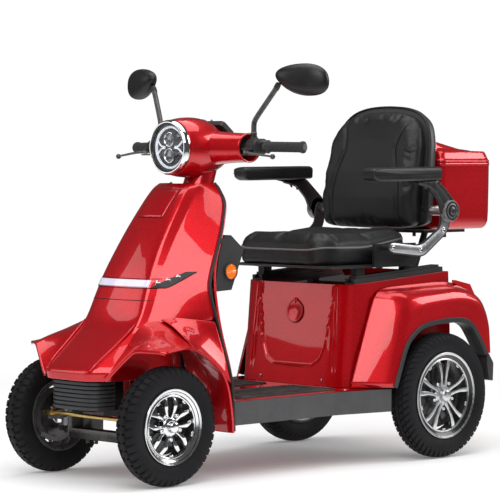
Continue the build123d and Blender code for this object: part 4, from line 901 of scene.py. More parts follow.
FENDER_X = [262, 304, 340, 354, 356.5]
FENDER = np.array([[(102, 246), (204, 522), (238, 560), (400, 567), (560, 572), (630, 556), (676, 490),
                    (686, 354), (686, 331)], [(140, 246), (228, 518), (268, 556), (400, 561), (560, 566),
                                              (640, 538), (682, 476), (686, 354), (686, 331)],
                   [(176, 246), (262, 500), (302, 532), (420, 540), (556, 548), (648, 518), (684, 452),
                    (686, 354), (686, 331)], [(194, 246), (284, 478), (328, 505), (420, 518), (554, 524),
                                              (636, 496), (676, 428), (683, 354), (684, 331)],
                   [(207, 246), (262, 386), (330, 440), (420, 453), (539, 455), (590, 433), (630, 380),
                    (652, 345), (659, 331)]], float)


def build_fenders():
    """Rear fenders: one skin from the seat box over the crown and down to the wheel arch."""
    control = np.concatenate([np.broadcast_to(np.reshape(FENDER_X, (-1, 1, 1)), (5, 9, 1)), FENDER], axis=2)
    grid = net(control, steps(0, 4, 14), steps(0, 8, 14), [0, 0.5, 0.4, 0.3, 0],
               [0, 0.3, 0.45, 0.5, 0.5, 0.4, 0.4, 0.4, 0])
    skin = shell(grid, inside=(290, 440, 300))
    piece("rear_fender_skins", both(skin), "body_red", "chassis", ["rear_fenders"], sharp=50,
          wall=3.0)
    edge = grid[-1]
    along = np.gradient(edge, axis=0)
    along /= np.linalg.norm(along, axis=1, keepdims=True)
    inward = np.column_stack([edge[:, 0] * 0, along[:, 2], -along[:, 1]])
    inward *= np.sign((inward * ((0, 448, 205) - edge)).sum(1, keepdims=True))
    rows = [(351, -1), (359, -3.5), (361.5, -2), (361.5, 11), (359, 13), (306, 12), (306, 8), (351, 8)]
    band = np.stack([edge * (0, 1, 1) + (x, 0, 0) + inward * reach for x, reach in rows])
    flap = plate(rounded([(658, 328), (666, 332), (690, 298), (687, 238), (668, 242), (657, 300)], 3, 3),
                 [(0, 2), (2, 0), (54, 0), (56, 2)], (306, 0, 0), X, Y)
    piece("arch_bands", both(shell(band, wrap_rows=True)) + both(flap), "satin_black", "chassis",
          ["arch_trims"], sharp=40)


# ------------------------------------------------------------------ wheels
WHEELS = {
    "front": dict(x=260.0, y=-692.0, r=181.0, flange=114.5, seat=102.0, half=34.0, swell=4.0, hub=30.0,
                  blocks=44, disc=70.0),
    "rear": dict(x=330.0, y=448.0, r=205.0, flange=140.5, seat=127.0, half=36.0, swell=6.0, hub=36.0,
                 blocks=56, disc=78.0),
}


def build_tyres(sizes):
    """Tyres with moulded tread: a block pattern in front and angled sipes behind."""
    for wheel_name, w in WHEELS.items():
        top, bulge = w["r"], w["half"] + w["swell"]
        half = [(w["half"] - 7.6, w["seat"] + 0.5), (w["half"] - 4.6, w["flange"] + 1.5),
                (bulge - 1.6, w["flange"] + 20), (bulge, (w["flange"] + top) / 2 + 4), (bulge - 3, top - 13),
                (bulge * 0.60, top - 2.2), (0, top + 0.6)]
        outline = np.array([(-o, r) for o, r in half] + [(o, r) for o, r in half[-2::-1]], float)
        at = np.concatenate([steps(0, 4, 6)[:-1], steps(4, 8, 16)[:-1], steps(8, 12, 6)])
        line = line_weights(13, at, [0, 0.4, 0.5, 0.5, 0.4, 0.5, 0.5, 0.5, 0.4, 0.5, 0.5, 0.4, 0]) @ outline

        def tread(angle, along, radius, w=w, bulge=bulge, wheel_name=wheel_name):
            """Groove depth: pulled in where the angle or the sideways place is near a groove line."""
            depth = sizes.tread_depth * 1000
            lean = np.abs(along) / bulge
            pitch = angle * w["blocks"] / (2 * np.pi)
            if wheel_name == "front":
                phase = (pitch + 0.5 * (lean > 0.42) + 0.35 * lean) % 1.0
                ring = np.abs(lean - 0.42) + 0.05 * np.sin(2 * np.pi * pitch)
                narrow, wide = 0.16, 0.07
            else:
                phase = (pitch + 1.5 * np.sign(along) * lean) % 1.0
                ring = np.minimum(np.abs(lean - 0.16), np.abs(lean - 0.55))
                narrow, wide = 0.13, 0.035
            slot = 1 - ease((np.abs(phase - 0.5) - narrow * 0.5) / 0.08)
            channel = 1 - ease((ring - wide * 0.5) / 0.03)
            crown = ease((radius - (w["r"] - 26)) / 8) + 0 * angle
            return -depth * np.maximum(slot * (lean > 0.12), channel) * crown

        around = w["blocks"] * 16
        for side_name, side in SIDES.items():
            part = turned(line, (w["x"], w["y"], w["r"]), X, around, relief=tread)
            points, faces = part
            faces = faces[(faces >= 0).all(axis=1)]
            inner = turned([(-w["half"] + 6, w["seat"] + 0.6), (w["half"] - 6, w["seat"] + 0.6)],
                           (w["x"], w["y"], w["r"]), X, 96)
            inner_faces = inner[1][(inner[1] >= 0).all(axis=1)][:, ::-1]
            node = f"{wheel_name}_tyre_{side_name}"
            piece(f"{node}_tread", [on_side((points[:-2], faces), side),
                                     on_side((inner[0][:-2], inner_faces), side)], "tyre_rubber",
                  f"{wheel_name}_wheel_{side_name}", [node], sharp=55)


def spokes(w, out, inner, outer, spread, width, thick, wide):
    """Five pairs of spokes: each a flat bar whose sideways place and width follow tables from hub to rim."""
    t = np.linspace(0, 1, 20)
    place = soft_line(np.array([(a, b, 0) for a, b in zip(np.linspace(0, 1, len(spread)), spread)]), 10, 0.3)
    size = np.interp(t, np.linspace(0, 1, len(width)), width)
    parts = []
    for lean in (-1, 1):
        sideways = lean * np.interp(t, place[:, 0], place[:, 1])
        radius = inner + (outer - inner) * t
        path = np.stack([w["x"] + out + 4 * np.sin(np.pi * t) - 3 * t, w["y"] + sideways, w["r"] + radius],
                        axis=1)
        bar = rounded([(-wide, -thick), (wide, -thick), (wide * 0.86, thick), (-wide * 0.86, thick)], 1.4, 3)
        parts.append(copies_round(swept(path, bar[:, ::-1], X, size), (w["x"], w["y"], w["r"]), X, 5))
    return parts


def build_rims():
    """Wheel rims: dished barrel, five pairs of spokes, hub with wheel bolts and cap, and the brake disc."""
    for wheel_name, w in WHEELS.items():
        flange, seat, half = w["flange"], w["seat"], w["half"]
        centre = (w["x"], w["y"], w["r"])
        front = wheel_name == "front"
        barrel = [(-half + 0.2, flange - 0.5), (-half + 4, flange - 0.3), (-half + 7, seat), (half - 7, seat),
                  (half - 4, flange - 0.3), (half - 0.4, flange), (half, flange - 2.5),
                  (half - 2.2, flange - 7), (half - 8, seat - 3), (half - 9, seat - 7), (half - 18, seat - 9),
                  (-half + 7, seat - 6), (-half + 1, flange - 8)]
        step_ring = [(half - 9, seat - 5.5), (half - 7.6, seat - 8), (half - 8.6, seat - 11),
                     (half - 14, seat - 12), (half - 14, seat - 6)]
        hub = [(-24, 12), (-24, w["hub"] - 4), (-20, w["hub"]), (17, w["hub"]), (21, w["hub"] - 2),
               (23, w["hub"] - 6), (23.5, w["hub"] * 0.62), (33, w["hub"] * 0.58), (39, w["hub"] * 0.54),
               (42, w["hub"] * 0.44), (43, w["hub"] * 0.22)]
        nut = turned([(6, 7), (20, 6.6), (25, 5), (27, 2)], (w["x"], w["y"], w["r"] + w["hub"] + 9), X, 16)
        lugs = copies_round(nut, centre, X, 5, 0.63)
        ribs = copies_round(plate(rounded(box_corners(3, 7), 2, 3), [(0, 0), (3, 0), (4, 1)],
                                  (w["x"] + half - 13, w["y"], w["r"] + seat - 15), X, Z),
                            centre, X, 5, 0.63)
        disc_out = np.array([(-22.2, w["hub"] - 3), (-22.2, w["disc"]), (-17.8, w["disc"]),
                             (-17.8, w["hub"] - 3)])

        def wave(angle, along, radius, w=w):
            """Scalloped rim of the disc: two millimetres in and out, ten times round."""
            return 2.0 * np.cos(10 * angle) * (radius > w["disc"] - 1) - 1.5 * (radius > w["disc"] - 1)

        disc = turned(disc_out, centre, X, 120, closed=True, relief=wave)
        # Low dark domes on the disc stand for its holes: painted shade seen through them.
        holes = [copies_round(dome((w["x"] - 17.9, w["y"], w["r"] + w["disc"] * share), X, 2.6, 0.5, 8),
                              centre, X, 20, turn) for share, turn in ((0.90, 0.0), (0.78, 0.16), (0.66, 0.32))]
        if front:
            bars = spokes(w, 14, w["hub"] - 5, seat - 4, (8, 15, 19, 17, 13), (0.7, 0.9, 1.5, 1.2, 0.8), 5, 4.6)
        else:
            bars = spokes(w, 20, w["hub"] - 10, seat + 2, (8, 10, 13, 21, 33), (1.3, 0.9, 1.1, 1.5, 0.9), 5,
                          4.8)
        for side_name, side in SIDES.items():
            body = f"{wheel_name}_wheel_{side_name}"
            node = f"{wheel_name}_rim_{side_name}"
            bright = "rim_chrome" if front else "rim_machined"
            piece(f"{node}_barrel", [on_side(turned(barrel, centre, X, 120, closed=True), side)], "rim_black",
                  body, [node], sharp=30)
            faces_out = [on_side(p, side) for p in [turned(step_ring, centre, X, 120, closed=True), *bars]]
            lip = turned([(half - 0.6, flange + 0.3), (half + 0.4, flange - 1), (half - 1.6, flange - 7.5),
                          (half - 3, flange - 7), (half - 2.6, flange - 1)], centre, X, 120, closed=True)
            dish = turned([(half - 2.4, flange - 7), (half - 7.5, seat - 3), (half - 12, seat - 9),
                           (half - 13, seat - 8.6), (half - 9, seat - 2), (half - 3.4, flange - 6.6)], centre,
                          X, 120, closed=True)
            faces_out += [on_side(p, side) for p in ([lip, dish] if front else [lip])]
            piece(f"{node}_spokes", faces_out, bright, body, sharp=40)
            piece(f"{node}_hub", [on_side(turned(hub, centre, X, 48), side)], bright, body, sharp=40)
            piece(f"{node}_lugs", [on_side(p, side) for p in (lugs, ribs)], bright, body, sharp=50)
            # Dark disc behind the spokes: painted shade of the inside of the wheel.
            back = turned([(-12, w["hub"] - 2), (-12, seat * 0.84), (-7, seat * 0.84), (-5, seat * 0.7),
                           (-3, w["hub"] + 4), (-3, w["hub"] - 2)], centre, X, 64, closed=True)
            piece(f"{node}_shade_backing", [on_side(back, side)], "rim_black", body, sharp=30)
            piece(f"{node}_disc", [on_side(disc, side)], "disc_steel", body, sharp=40)
            piece(f"{node}_disc_hole_shade", [on_side(h, side) for h in holes], "painted_shade_dark", body, sharp=60)


# ------------------------------------------------------------------ padded seat
def mesh_points(mesh):
    points = np.zeros(len(mesh.vertices) * 3, np.float32)
    mesh.vertices.foreach_get("co", points)
    return points.reshape(-1, 3).astype(float)


def swap_mesh(padded_object, modifier_kind, frames=0, **settings):
    """Adds one modifier, steps the scene through its frames and keeps the shape it makes."""
    modifier = padded_object.modifiers.new("Shape", modifier_kind)
    for key, value in settings.items():
        target = modifier.settings if modifier_kind == "CLOTH" else modifier
        setattr(target, key, value)
    if modifier_kind == "CLOTH":
        modifier.settings.effector_weights.gravity = 0
    scene = bpy.context.scene
    for number in range(1, frames + 1):
        scene.frame_set(number)
    graph = bpy.context.evaluated_depsgraph_get()
    made = bpy.data.meshes.new_from_object(padded_object.evaluated_get(graph))
    padded_object.modifiers.clear()
    padded_object.data = made
    if frames:
        scene.frame_set(1)


def inflate(padded_object, cap, voxel=0.006, pressure=4.0):
    """Swells a closed form like a filled cover; a point moves at most cap millimetres."""
    swap_mesh(padded_object, "REMESH", mode="VOXEL", voxel_size=voxel)
    start = mesh_points(padded_object.data)
    swap_mesh(padded_object, "CLOTH", 20, quality=5, mass=0.25, tension_stiffness=12,
              compression_stiffness=12, shear_stiffness=6, bending_stiffness=1.5, use_pressure=True,
              uniform_pressure_force=pressure)
    moved = mesh_points(padded_object.data) - start
    length = np.linalg.norm(moved, axis=1, keepdims=True)
    points = start + moved * np.minimum(1, cap * MM / np.maximum(length, 1e-9))
    padded_object.data.vertices.foreach_set("co", points.astype(np.float32).ravel())
    padded_object.data.update()


def press(padded_object, move):
    """Moves every point of a padded piece by move(points in millimetres)."""
    points = mesh_points(padded_object.data)
    points = points + move(points / MM) * MM
    padded_object.data.vertices.foreach_set("co", points.astype(np.float32).ravel())
    padded_object.data.update()
    padded_object.data.shade_smooth()


def cast_line(padded_object, points, heading):
    """Where lines from points (mm) along headings first meet a piece; a line that misses is dropped."""
    found = []
    for point, way in zip(points, np.broadcast_to(heading, np.shape(points))):
        hit, place, _, _ = padded_object.ray_cast(Vector(point * MM), Vector(way))
        if hit:
            found.append(np.array(place) / MM)
    return np.array(found)


def relax(path, times=4, closed=False):
    """Smooths a path: each point moves to a quarter of each neighbour plus half of itself."""
    for _ in range(times):
        after = np.roll(path, -1, 0) * 0.25 + np.roll(path, 1, 0) * 0.25 + path * 0.5
        if not closed:
            after[[0, -1]] = path[[0, -1]]
        path = after
    return path


def gauss(distance, width):
    return np.exp(-(distance / width) ** 2)


def seat_form(points):
    """Height of the seat's welt line: falling a little at the nose, rising to the backrest."""
    return 26 * ease((points[:, 1] - 230) / 210) - 8 * ease((60 - points[:, 1]) / 60)


def seat_crown(points):
    """Height of the crown above the welt line: fuller in front than behind, dished across the middle."""
    x, y = points[:, 0], points[:, 1]
    dish = 10 * (1 - (x / 230) ** 2) * ease((y - 40) / 120) * ease((440 - y) / 80)
    return 28 - 12 * ease((y - 230) / 190) - dish


def build_seat_cushion(sizes):
    """Leather seat cushion, swollen by its filling, with a light welt on top and a pulled-in lower seam."""
    outline = rounded([(-172, -204), (172, -204), (214, -150), (220, -31), (220, 203), (-220, 203), (-220, -31),
                       (-214, -150)], [30, 30, 60, 60, 30, 30, 60, 60], 8)
    layers = [(0, 12), (6, 3), (14, 0), (40, -1), (60, 0), (68, 3), (76, 6), (86, 14), (93, 28), (97, 46)]
    layers += [(97 + k * 0.5, 46, 1 - 0.17 * k) for k in range(1, 6)]
    points, faces = plate(outline, layers, (0, 222, 634), Z, X)
    height = points[:, 2] - 634
    points[:, 2] += (np.clip(height / 68, 0, 1) * seat_form(points)
                     + np.clip((height - 68) / 29, 0, 1) * (seat_crown(points) - 29))
    cushion = piece("seat_cushion_padded", [(points, faces)], "black_leather", "seat",
                    ["seat_cushion"])
    inflate(cushion, 11)

    def shape(p):
        """Seam pull: inwards on the flanks along two lines, and the sides drawn in between the corners."""
        flank = ease((np.maximum(np.abs(p[:, 0]) - 200, 34 - p[:, 1])) / 12)
        top = 634 + 71 + seat_form(p)
        low = gauss(p[:, 2] - 655, 4)
        high = gauss(p[:, 2] - (top - 8), 5)
        move = np.zeros_like(p)
        pull = flank * (3.5 * low + 3.0 * high)
        side = np.abs(p[:, 0]) > 195
        move[:, 0] = -np.sign(p[:, 0]) * pull * side
        move[:, 1] = pull * (p[:, 1] < 60)
        band = gauss(p[:, 1] - 96 - 10 * (p[:, 0] / 200) ** 2, 5) * (p[:, 2] > 690) * (np.abs(p[:, 0]) < 205)
        move[:, 2] -= 4.0 * band
        ruck = 0.8 * np.sin(p[:, 0] * 0.09 + 1.3 * np.sin(p[:, 1] * 0.03)) * flank * gauss(p[:, 2] - 690, 22)
        move[:, 1] += ruck * (p[:, 1] < 60)
        return move

    press(cushion, shape)
    cushion.modifiers.new("Finer", "SUBSURF").levels = 1
    cushion.modifiers["Finer"].render_levels = 1
    ring = rounded([(-166, 14), (166, 14), (216, 70), (224, 190), (224, 430), (-224, 430), (-224, 190),
                    (-216, 70)], [40, 40, 60, 60, 40, 40, 60, 60], 14)
    ring = ring[np.abs(np.roll(ring, -1, 0) - ring).sum(1) > 0.01]
    start = np.column_stack([ring, 634 + 68 + seat_form(np.column_stack([ring, ring[:, 0]]))])
    away = start - (0, 240, 0)
    out = np.stack([away[:, 0], away[:, 1], 0 * away[:, 0]], axis=1)
    out /= np.linalg.norm(out, axis=1, keepdims=True)
    heading = -out * 0.8 + np.array([0, 0, -0.6])
    welt = cast_line(cushion, start - heading * 60, heading)
    welt = relax(welt, 6, closed=True)
    radius = sizes.piping_radius * 1000
    cord = piece("seat_welt", [swept(welt, circle(radius, 10), Z, closed=True)], "piping_grey", "seat")
    base = plate(rounded([(-214, 30), (214, 30), (224, 200), (222, 430), (-222, 430), (-224, 200)], 30, 6),
                 [(0, 4), (2, 0), (8, 0)], (0, 0, 626.5), Z, X)
    piece("seat_cushion_board", [base], "satin_black", "seat")
    stitch = [(x, 96 + 10 * (x / 200) ** 2, 800) for x in np.linspace(-198, 198, 70)]
    line = relax(cast_line(cushion, np.array(stitch), (0, 0, -1)), 2)
    piece("seat_seam_thread", [swept(line + (0, 0, 0.3), circle(1.0, 6), Z)], "stitch_black", "seat")


def back_front(z):
    """y of the backrest's front surface at a height."""
    return np.interp(z, [748, 850, 930, 1040, 1120, 1158], [446, 442, 453, 481, 516, 544])


def back_rear(z):
    """y where the backrest cushion meets its shell at a height."""
    return np.interp(z, [748, 850, 950, 1060, 1158], [504.5, 507.5, 517.5, 539.5, 559.5])


def build_backrest(sizes):
    """High backrest: swollen leather front with bolster seams, a welt and a smooth moulded shell behind."""
    half = [(0, 196), (84, 192), (144, 177), (186, 144), (209, 80), (215, -20), (215, -150), (208, -214),
            (0, -220)]
    outline = np.array(half[:-1] + [(-x, z) for x, z in half[-2:0:-1]], float)
    outline = soft_line(outline, 8, 0.38, closed=True)
    layers = [(0, 4), (8, 0), (34, 0), (46, 5), (54, 16), (58, 34)]
    layers += [(58, 34, 1 - 0.18 * k) for k in range(1, 6)]
    points, faces = plate(outline[:, ::-1], layers, (0, 0, 950), (0, -1, 0), Z)
    depth = -points[:, 1] / 60
    rear, front = back_rear(points[:, 2]), back_front(points[:, 2])
    points[:, 1] = rear - 1.0 + (front - rear) * depth
    cushion = piece("backrest_cushion_padded", [(points, faces)], "black_leather", "backrest",
                    ["backrest_cushion"])
    inflate(cushion, 10)

    def bolster(z):
        """Sideways place of the bolster seam: wide at the foot and the top, drawn in below the shoulders."""
        return np.interp(z, [720, 880, 950, 1010, 1060, 1100, 1150], [152, 150, 132, 113, 122, 144, 152])

    def shape(p):
        """Seam pull: towards the shell along both bolster seams, and a shallow hollow between them."""
        x, z = np.abs(p[:, 0]), p[:, 2]
        facing = ease((back_rear(z) - 14 - p[:, 1]) / 12)
        move = np.zeros_like(p)
        move[:, 1] = facing * (7.5 * gauss(x - bolster(z), 6) + 6 * gauss(x, 110) * gauss(z - 900, 120)
                               * (x < bolster(z)))
        rim = gauss(p[:, 1] - (back_rear(z) - 16), 4)
        outward = np.stack([np.sign(p[:, 0]) * ease((x - 120) / 80), 0 * x, ease((z - 1060) / 60)], axis=1)
        return move - outward * (2.5 * rim)[:, None]

    press(cushion, shape)
    cushion.modifiers.new("Finer", "SUBSURF").levels = 1
    cushion.modifiers["Finer"].render_levels = 1
    z = np.linspace(752, 1118, 60)
    threads = []
    for side in SIDES.values():
        found = relax(cast_line(cushion, np.column_stack([side * bolster(z), z * 0 + 380, z]), Y), 2)
        threads.append(swept(found + (0, -0.4, 0), circle(1.1, 6), Y))
    piece("backrest_seam_threads", threads, "stitch_black", "backrest")
    half = [(0, 1156), (88, 1151), (152, 1134), (198, 1096), (222, 1030), (232, 920), (232, 802), (222, 744),
            (0, 742)]
    outline = np.array(half[:-1] + [(-x, z) for x, z in half[-2:0:-1]], float)
    outline = soft_line(outline, 8, 0.45, closed=True)
    layers = [(0, 3), (1.5, 0), (14, 0), (26, 4), (34, 12), (40, 26), (43, 50), (44, 90)]
    points, faces = plate(outline[:, ::-1], layers, (0, 0, 0), Y, Z)
    rear = back_rear(points[:, 2])
    thin = 1 - 0.55 * ease((points[:, 2] - 1080) / 80)
    points[:, 1] = rear + 1.2 + points[:, 1] * thin
    points[:, 1] = np.minimum(points[:, 1], 588)
    piece("backrest_shell_moulding", [(points, faces)], "back_shell", "backrest",
          ["backrest_shell"], sharp=50)
    rim = np.column_stack([outline[:, 0], back_rear(outline[:, 1]) - 0.6, outline[:, 1]])
    rim = (rim - (0, 0, 950)) * (0.975, 1, 0.985) + (0, 0, 950)
    welt = swept(rim, circle(sizes.piping_radius * 1000, 10), Y, closed=True)
    cord = piece("backrest_welt", [welt], "black_leather", "backrest")
    posts = []
    for side in SIDES.values():
        posts.append(on_side(turned([(0, 8), (0, 16), (78, 16), (80, 14.5), (84, 14.5), (84, 8), (116, 8),
                                     (116, 2)], (200, 527, 806), X, 32), side))
    piece("recliner_posts", posts, "bright_steel", "backrest")


# ------------------------------------------------------------------ armrests and links
ARM_PAD = [(143, 944), (147, 914), (166, 904), (380, 906), (472, 909), (474, 944), (462, 952), (172, 950)]
ARM_BRACKET = [(318, 908), (470, 908), (552, 840), (562, 806), (546, 774), (512, 771), (494, 792), (470, 840),
               (424, 884)]


def build_armrests():
    """Armrests: soft-edged pad with a side groove, ribbed bracket and the ringed recliner cover."""
    for side_name, side in SIDES.items():
        body = f"armrest_{side_name}"
        pad = plate(rounded(ARM_PAD, [10, 14, 16, 12, 8, 8, 12, 16], 6),
                    [(0, 9), (1.5, 5), (4, 2), (9, 0), (22, 0), (40, 0), (53, 0), (58, 2), (60.5, 5), (62, 9)],
                    (266, 0, 0), X, Y)
        points, faces = pad
        groove = gauss(points[:, 2] - 930, 3.2) * (np.abs(points[:, 0] - 297) > 22)
        points[:, 0] -= np.sign(points[:, 0] - 297) * 2.2 * groove
        # Dark strip laid in the side groove: painted shade of the groove.
        line = [(150, 928), (200, 927), (460, 930)]
        strip = swept(soft_line([(328.2, y, z) for y, z in line], 10), circle(1.6, 6), X)
        bracket = plate(rounded(ARM_BRACKET, 10, 5), [(0, 3), (2, 0), (10, 0), (12, 3)], (298, 0, 0), X,
                        Y)
        ribs = [swept(soft_line([(309, y, z) for y, z in [(y0, 902), (y0 + 16, 880 - k * 9)]], 6),
                      circle(3.4, 8), X) for k, y0 in enumerate((392, 420, 448))]
        ribs.append(swept(soft_line([(309.5, 370, 898), (309.5, 440, 884), (309.5, 484, 836),
                                     (309.5, 516, 792)], 10), circle(4.5, 10), X))
        ribs.append(swept(soft_line([(309.5, 470, 900), (309.5, 520, 862), (309.5, 548, 828)], 10),
                          circle(4, 10), X))
        rings = turned([(0, 36), (19, 36), (21.5, 34.5), (22, 31), (20, 29.5), (20, 26), (22.5, 25), (23.5, 21),
                        (21.5, 19.5), (21.5, 15), (25, 14), (27, 11), (28, 4)], (298, 527, 806), X, 64)
        piece(f"armrest_{side_name}_pad", [on_side((points, faces), side)], "satin_black", body,
              [f"armrest_{side_name}"], sharp=50)
        piece(f"armrest_{side_name}_bracket", [on_side(p, side) for p in [bracket, *ribs]], "satin_black", body)
        piece(f"armrest_{side_name}_groove", [on_side(strip, side)], "painted_shade_dark", body)
        piece(f"armrest_{side_name}_cover", [on_side(rings, side)], "lever_black", body,
              sharp=30)


LINK = [(247, 682), (268, 671), (400, 657), (426, 662), (541, 737), (553, 800), (546, 827), (510, 827),
        (501, 800), (498, 754), (400, 697), (268, 711), (249, 706)]


def build_links():
    """Brushed elbow links of the backrest: bright plate in a black border with three bolts."""
    outline = rounded(LINK, [12, 12, 20, 20, 30, 16, 14, 14, 16, 30, 24, 12, 12], 6)
    border = plate(outline, [(0, 1.2), (1, 0), (4.6, 0), (5.4, 1)], (286.6, 0, 0), X, Y)
    bright = plate(outline, [(4.0, 5), (6.0, 5), (6.5, 6)], (286.6, 0, 0), X, Y)
    bolts, seats = [], []
    for y, z in ((268, 691), (401, 679), (513, 741)):
        seats.append(turned([(5.5, 12), (7, 12), (7.6, 11), (7.6, 7)], (286.6, y, z), X, 28))
        bolts.append(dome((293.8, y, z), X, 7, 4, 16))
    piece("link_borders", both(border), "satin_black", "seat", ["seat_links"])
    piece("link_plates", both(bright), "brushed_alloy", "seat")
    piece("link_washers", [m for s in seats for m in both(s)], "bright_steel", "seat")
    piece("link_bolts", [m for b in bolts for m in both(b)], "chrome", "seat")


# ------------------------------------------------------------------ cowl, headlamp, bar and mirrors
COWL = [(-428, 1014, 85.5), (-422, 1014, 88), (-400, 1014, 92.5), (-362, 1014, 95), (-322, 1013.5, 92.5),
        (-280, 1011, 80), (-240, 1007, 60), (-222, 1006, 40), (-214, 1005, 8)]
BAR_Z = 1014.0


def build_cowl():
    """Headlamp cowl: a round shell closed behind, with a hollow arm towards each grip and the neck below."""
    control = np.array(COWL, float)
    line = soft_line(control, 10, [0, 0.3, 0.5, 0.5, 0.5, 0.5, 0.5, 0.4, 0])
    angle = np.linspace(0, 2 * np.pi, 96, endpoint=False)
    grid = np.stack([line[:, 2:] * np.sin(angle), line[:, :1] + 0 * angle,
                     line[:, 1:2] + line[:, 2:] * np.cos(angle)], axis=-1)
    arms = []
    t = np.linspace(0, 1, 24)[:, None]
    ring = circle(1.0, 48)
    width = 74 + (47 - 74) * ease(t * 0.9) / ease(0.9) - 3 * np.sin(np.pi * t)
    height = 60 + (45 - 60) * t - 3 * np.sin(np.pi * t)
    arm = np.stack([20 + 170 * t + 0 * ring[:, 0][None], -318 + 42 * t + width * ring[:, 0][None],
                    1013 + height * ring[:, 1][None]], axis=-1)
    arms = shell(arm, wrap_columns=True, inside=(105, -297, 1013))
    piece("cowl_dome", [shell(grid, wrap_columns=True, caps=(False, True), inside=(0, -330, 1014))], "body_red",
          "steering", ["handlebar_cowl"], sharp=60, wall=2.5)
    piece("cowl_arms", both(arms), "body_red", "steering", sharp=60, wall=3.0)
    mouth = np.stack([188.5 + 0 * ring[:, 0], -276 + 46.2 * ring[:, 0], 1013 + 44.2 * ring[:, 1]], axis=1)
    inner = np.stack([150 + 0 * ring[:, 0], -286 + 48 * ring[:, 0], 1013 + 45 * ring[:, 1]], axis=1)
    piece("cowl_mouths", both(swept(mouth, circle(2.6, 8), X, closed=True)), "body_red", "steering")
    # Near-black discs inside the hollow arms: painted shade of the arms' insides.
    dark = shell(np.stack([inner, inner * (1, 1, 1)]) * 1.0, wrap_columns=True, caps=(True, False),
                 inside=(100, -286, 1013))
    piece("cowl_arm_shade_caps", both(dark), "painted_shade_dark", "steering")
    rake = math.radians(20)
    low = np.array([0, -307 + (884 - 930) * math.tan(rake), 884.0])
    neck = turned([(0, 47), (4, 47), (70, 45.5), (84, 44)], low, (0, math.sin(rake), math.cos(rake)), 64)
    piece("cowl_neck", [neck], "body_red", "steering")
    collar = turned([(-6, 42), (-6, 49), (-3, 50), (2, 50), (4, 48.5), (4, 42)], low,
                    (0, math.sin(rake), math.cos(rake)), 64)
    piece("cowl_neck_collar", [collar], "satin_black", "steering")
    # Thin dark lines on the cowl: painted shade of its seams.
    turn = np.linspace(-0.2, 1.0, 40)
    along = -398 + 150 * turn
    radius = np.interp(along, line[:, 0], line[:, 2]) + 0.1
    height = np.interp(along, line[:, 0], line[:, 1])
    lean = 1.62 + 0.15 * turn
    seam = np.stack([radius * np.sin(lean), along, height + radius * np.cos(lean)], axis=1)
    top = []
    for lean in (-0.34, 0.34):
        along = np.linspace(-418, -300, 30)
        radius = np.interp(along, line[:, 0], line[:, 2]) + 0.1
        tilt = lean * (1 - 0.5 * ease((along + 340) / 60))
        top.append(np.stack([radius * np.sin(tilt), along, 1014 + radius * np.cos(tilt)], axis=1))
    lines = [swept(path, circle(0.9, 6), Z) for path in top]
    lines += both(swept(seam, circle(1.0, 6), Z))
    piece("cowl_seam_shade_lines", lines, "painted_shade_dark", "steering")


def build_headlamp():
    """Round headlamp: chrome bezel, dark bowl, pale halo ring, two stacked projectors and pale side bars."""
    centre, ahead = (0, 0, BAR_Z), (0, -1, 0)
    bezel = [(427.6, 77), (427.6, 84), (434, 86.4), (443, 86), (449, 83.4), (452.4, 80), (452.4, 77.6),
             (449, 76.2), (436, 76)]
    piece("headlamp_bezel_ring", [turned(bezel, centre, ahead, 120, closed=True)], "chrome", "steering",
          ["headlamp_bezel"], sharp=30)
    bowl = [(426, 75.6), (440, 75), (441, 71), (436, 69), (431, 60), (429, 40), (428.6, 4)]
    inner = [turned([(446.5, 75.8), (447.6, 75.4), (448, 71), (445, 69.5), (440, 69), (437, 71)], centre, ahead,
                    96, closed=True)]
    piece("headlamp_bowl", [turned(bowl, centre, ahead, 96)], "lamp_inner", "steering",
          ["headlamp_unit"], sharp=30)
    piece("headlamp_inner_ring", inner, "satin_black", "steering", sharp=30)
    halo = turned([(434, 67), (438.5, 66), (440, 62.5), (438, 59.5), (433, 59)], centre, ahead, 96, closed=True)
    bars = []
    for side in SIDES.values():
        for lift in (-1, 1):
            path = soft_line([(side * 22, -437, BAR_Z + lift * 1.5), (side * 40, -437, BAR_Z + lift * 4),
                              (side * 57, -436, BAR_Z + lift * 22)], 8, 0.3)
            bars.append(swept(path, circle(2.6, 8), Y))
    piece("headlamp_halo", [halo, *bars], "halo_white", "steering")
    rings, eyes = [], []
    for lift in (-25, 25):
        spot = (0, 0, BAR_Z + lift)
        rings.append(turned([(430, 23.4), (441, 23), (442, 21), (440, 19.4), (432, 19)], spot, ahead, 48,
                            closed=True))
        t = np.linspace(0, np.pi / 2, 8)[:-1]
        eyes.append(turned([(431, 19)] + list(zip(435 + 6.5 * np.sin(t), 19 * np.cos(t) ** 0.9)), spot, ahead,
                           48))
    piece("projector_rings", rings, "chrome", "steering", sharp=30)
    piece("projector_lenses", eyes, "projector_glass", "steering")
    t = np.linspace(0, np.pi / 2, 14)[:-1]
    lens = turned([(445, 75.9), (446, 75.9)] + list(zip(446 + 5.4 * np.sin(t), 75.9 * np.cos(t))), centre,
                  ahead, 96)
    piece("headlamp_cover", [lens], "clear_lens", "steering", ["headlamp_lens"])


GRIP_START = np.array([259.0, -269.0, 1016.0])
GRIP_END = np.array([390.0, -232.0, 1014.0])


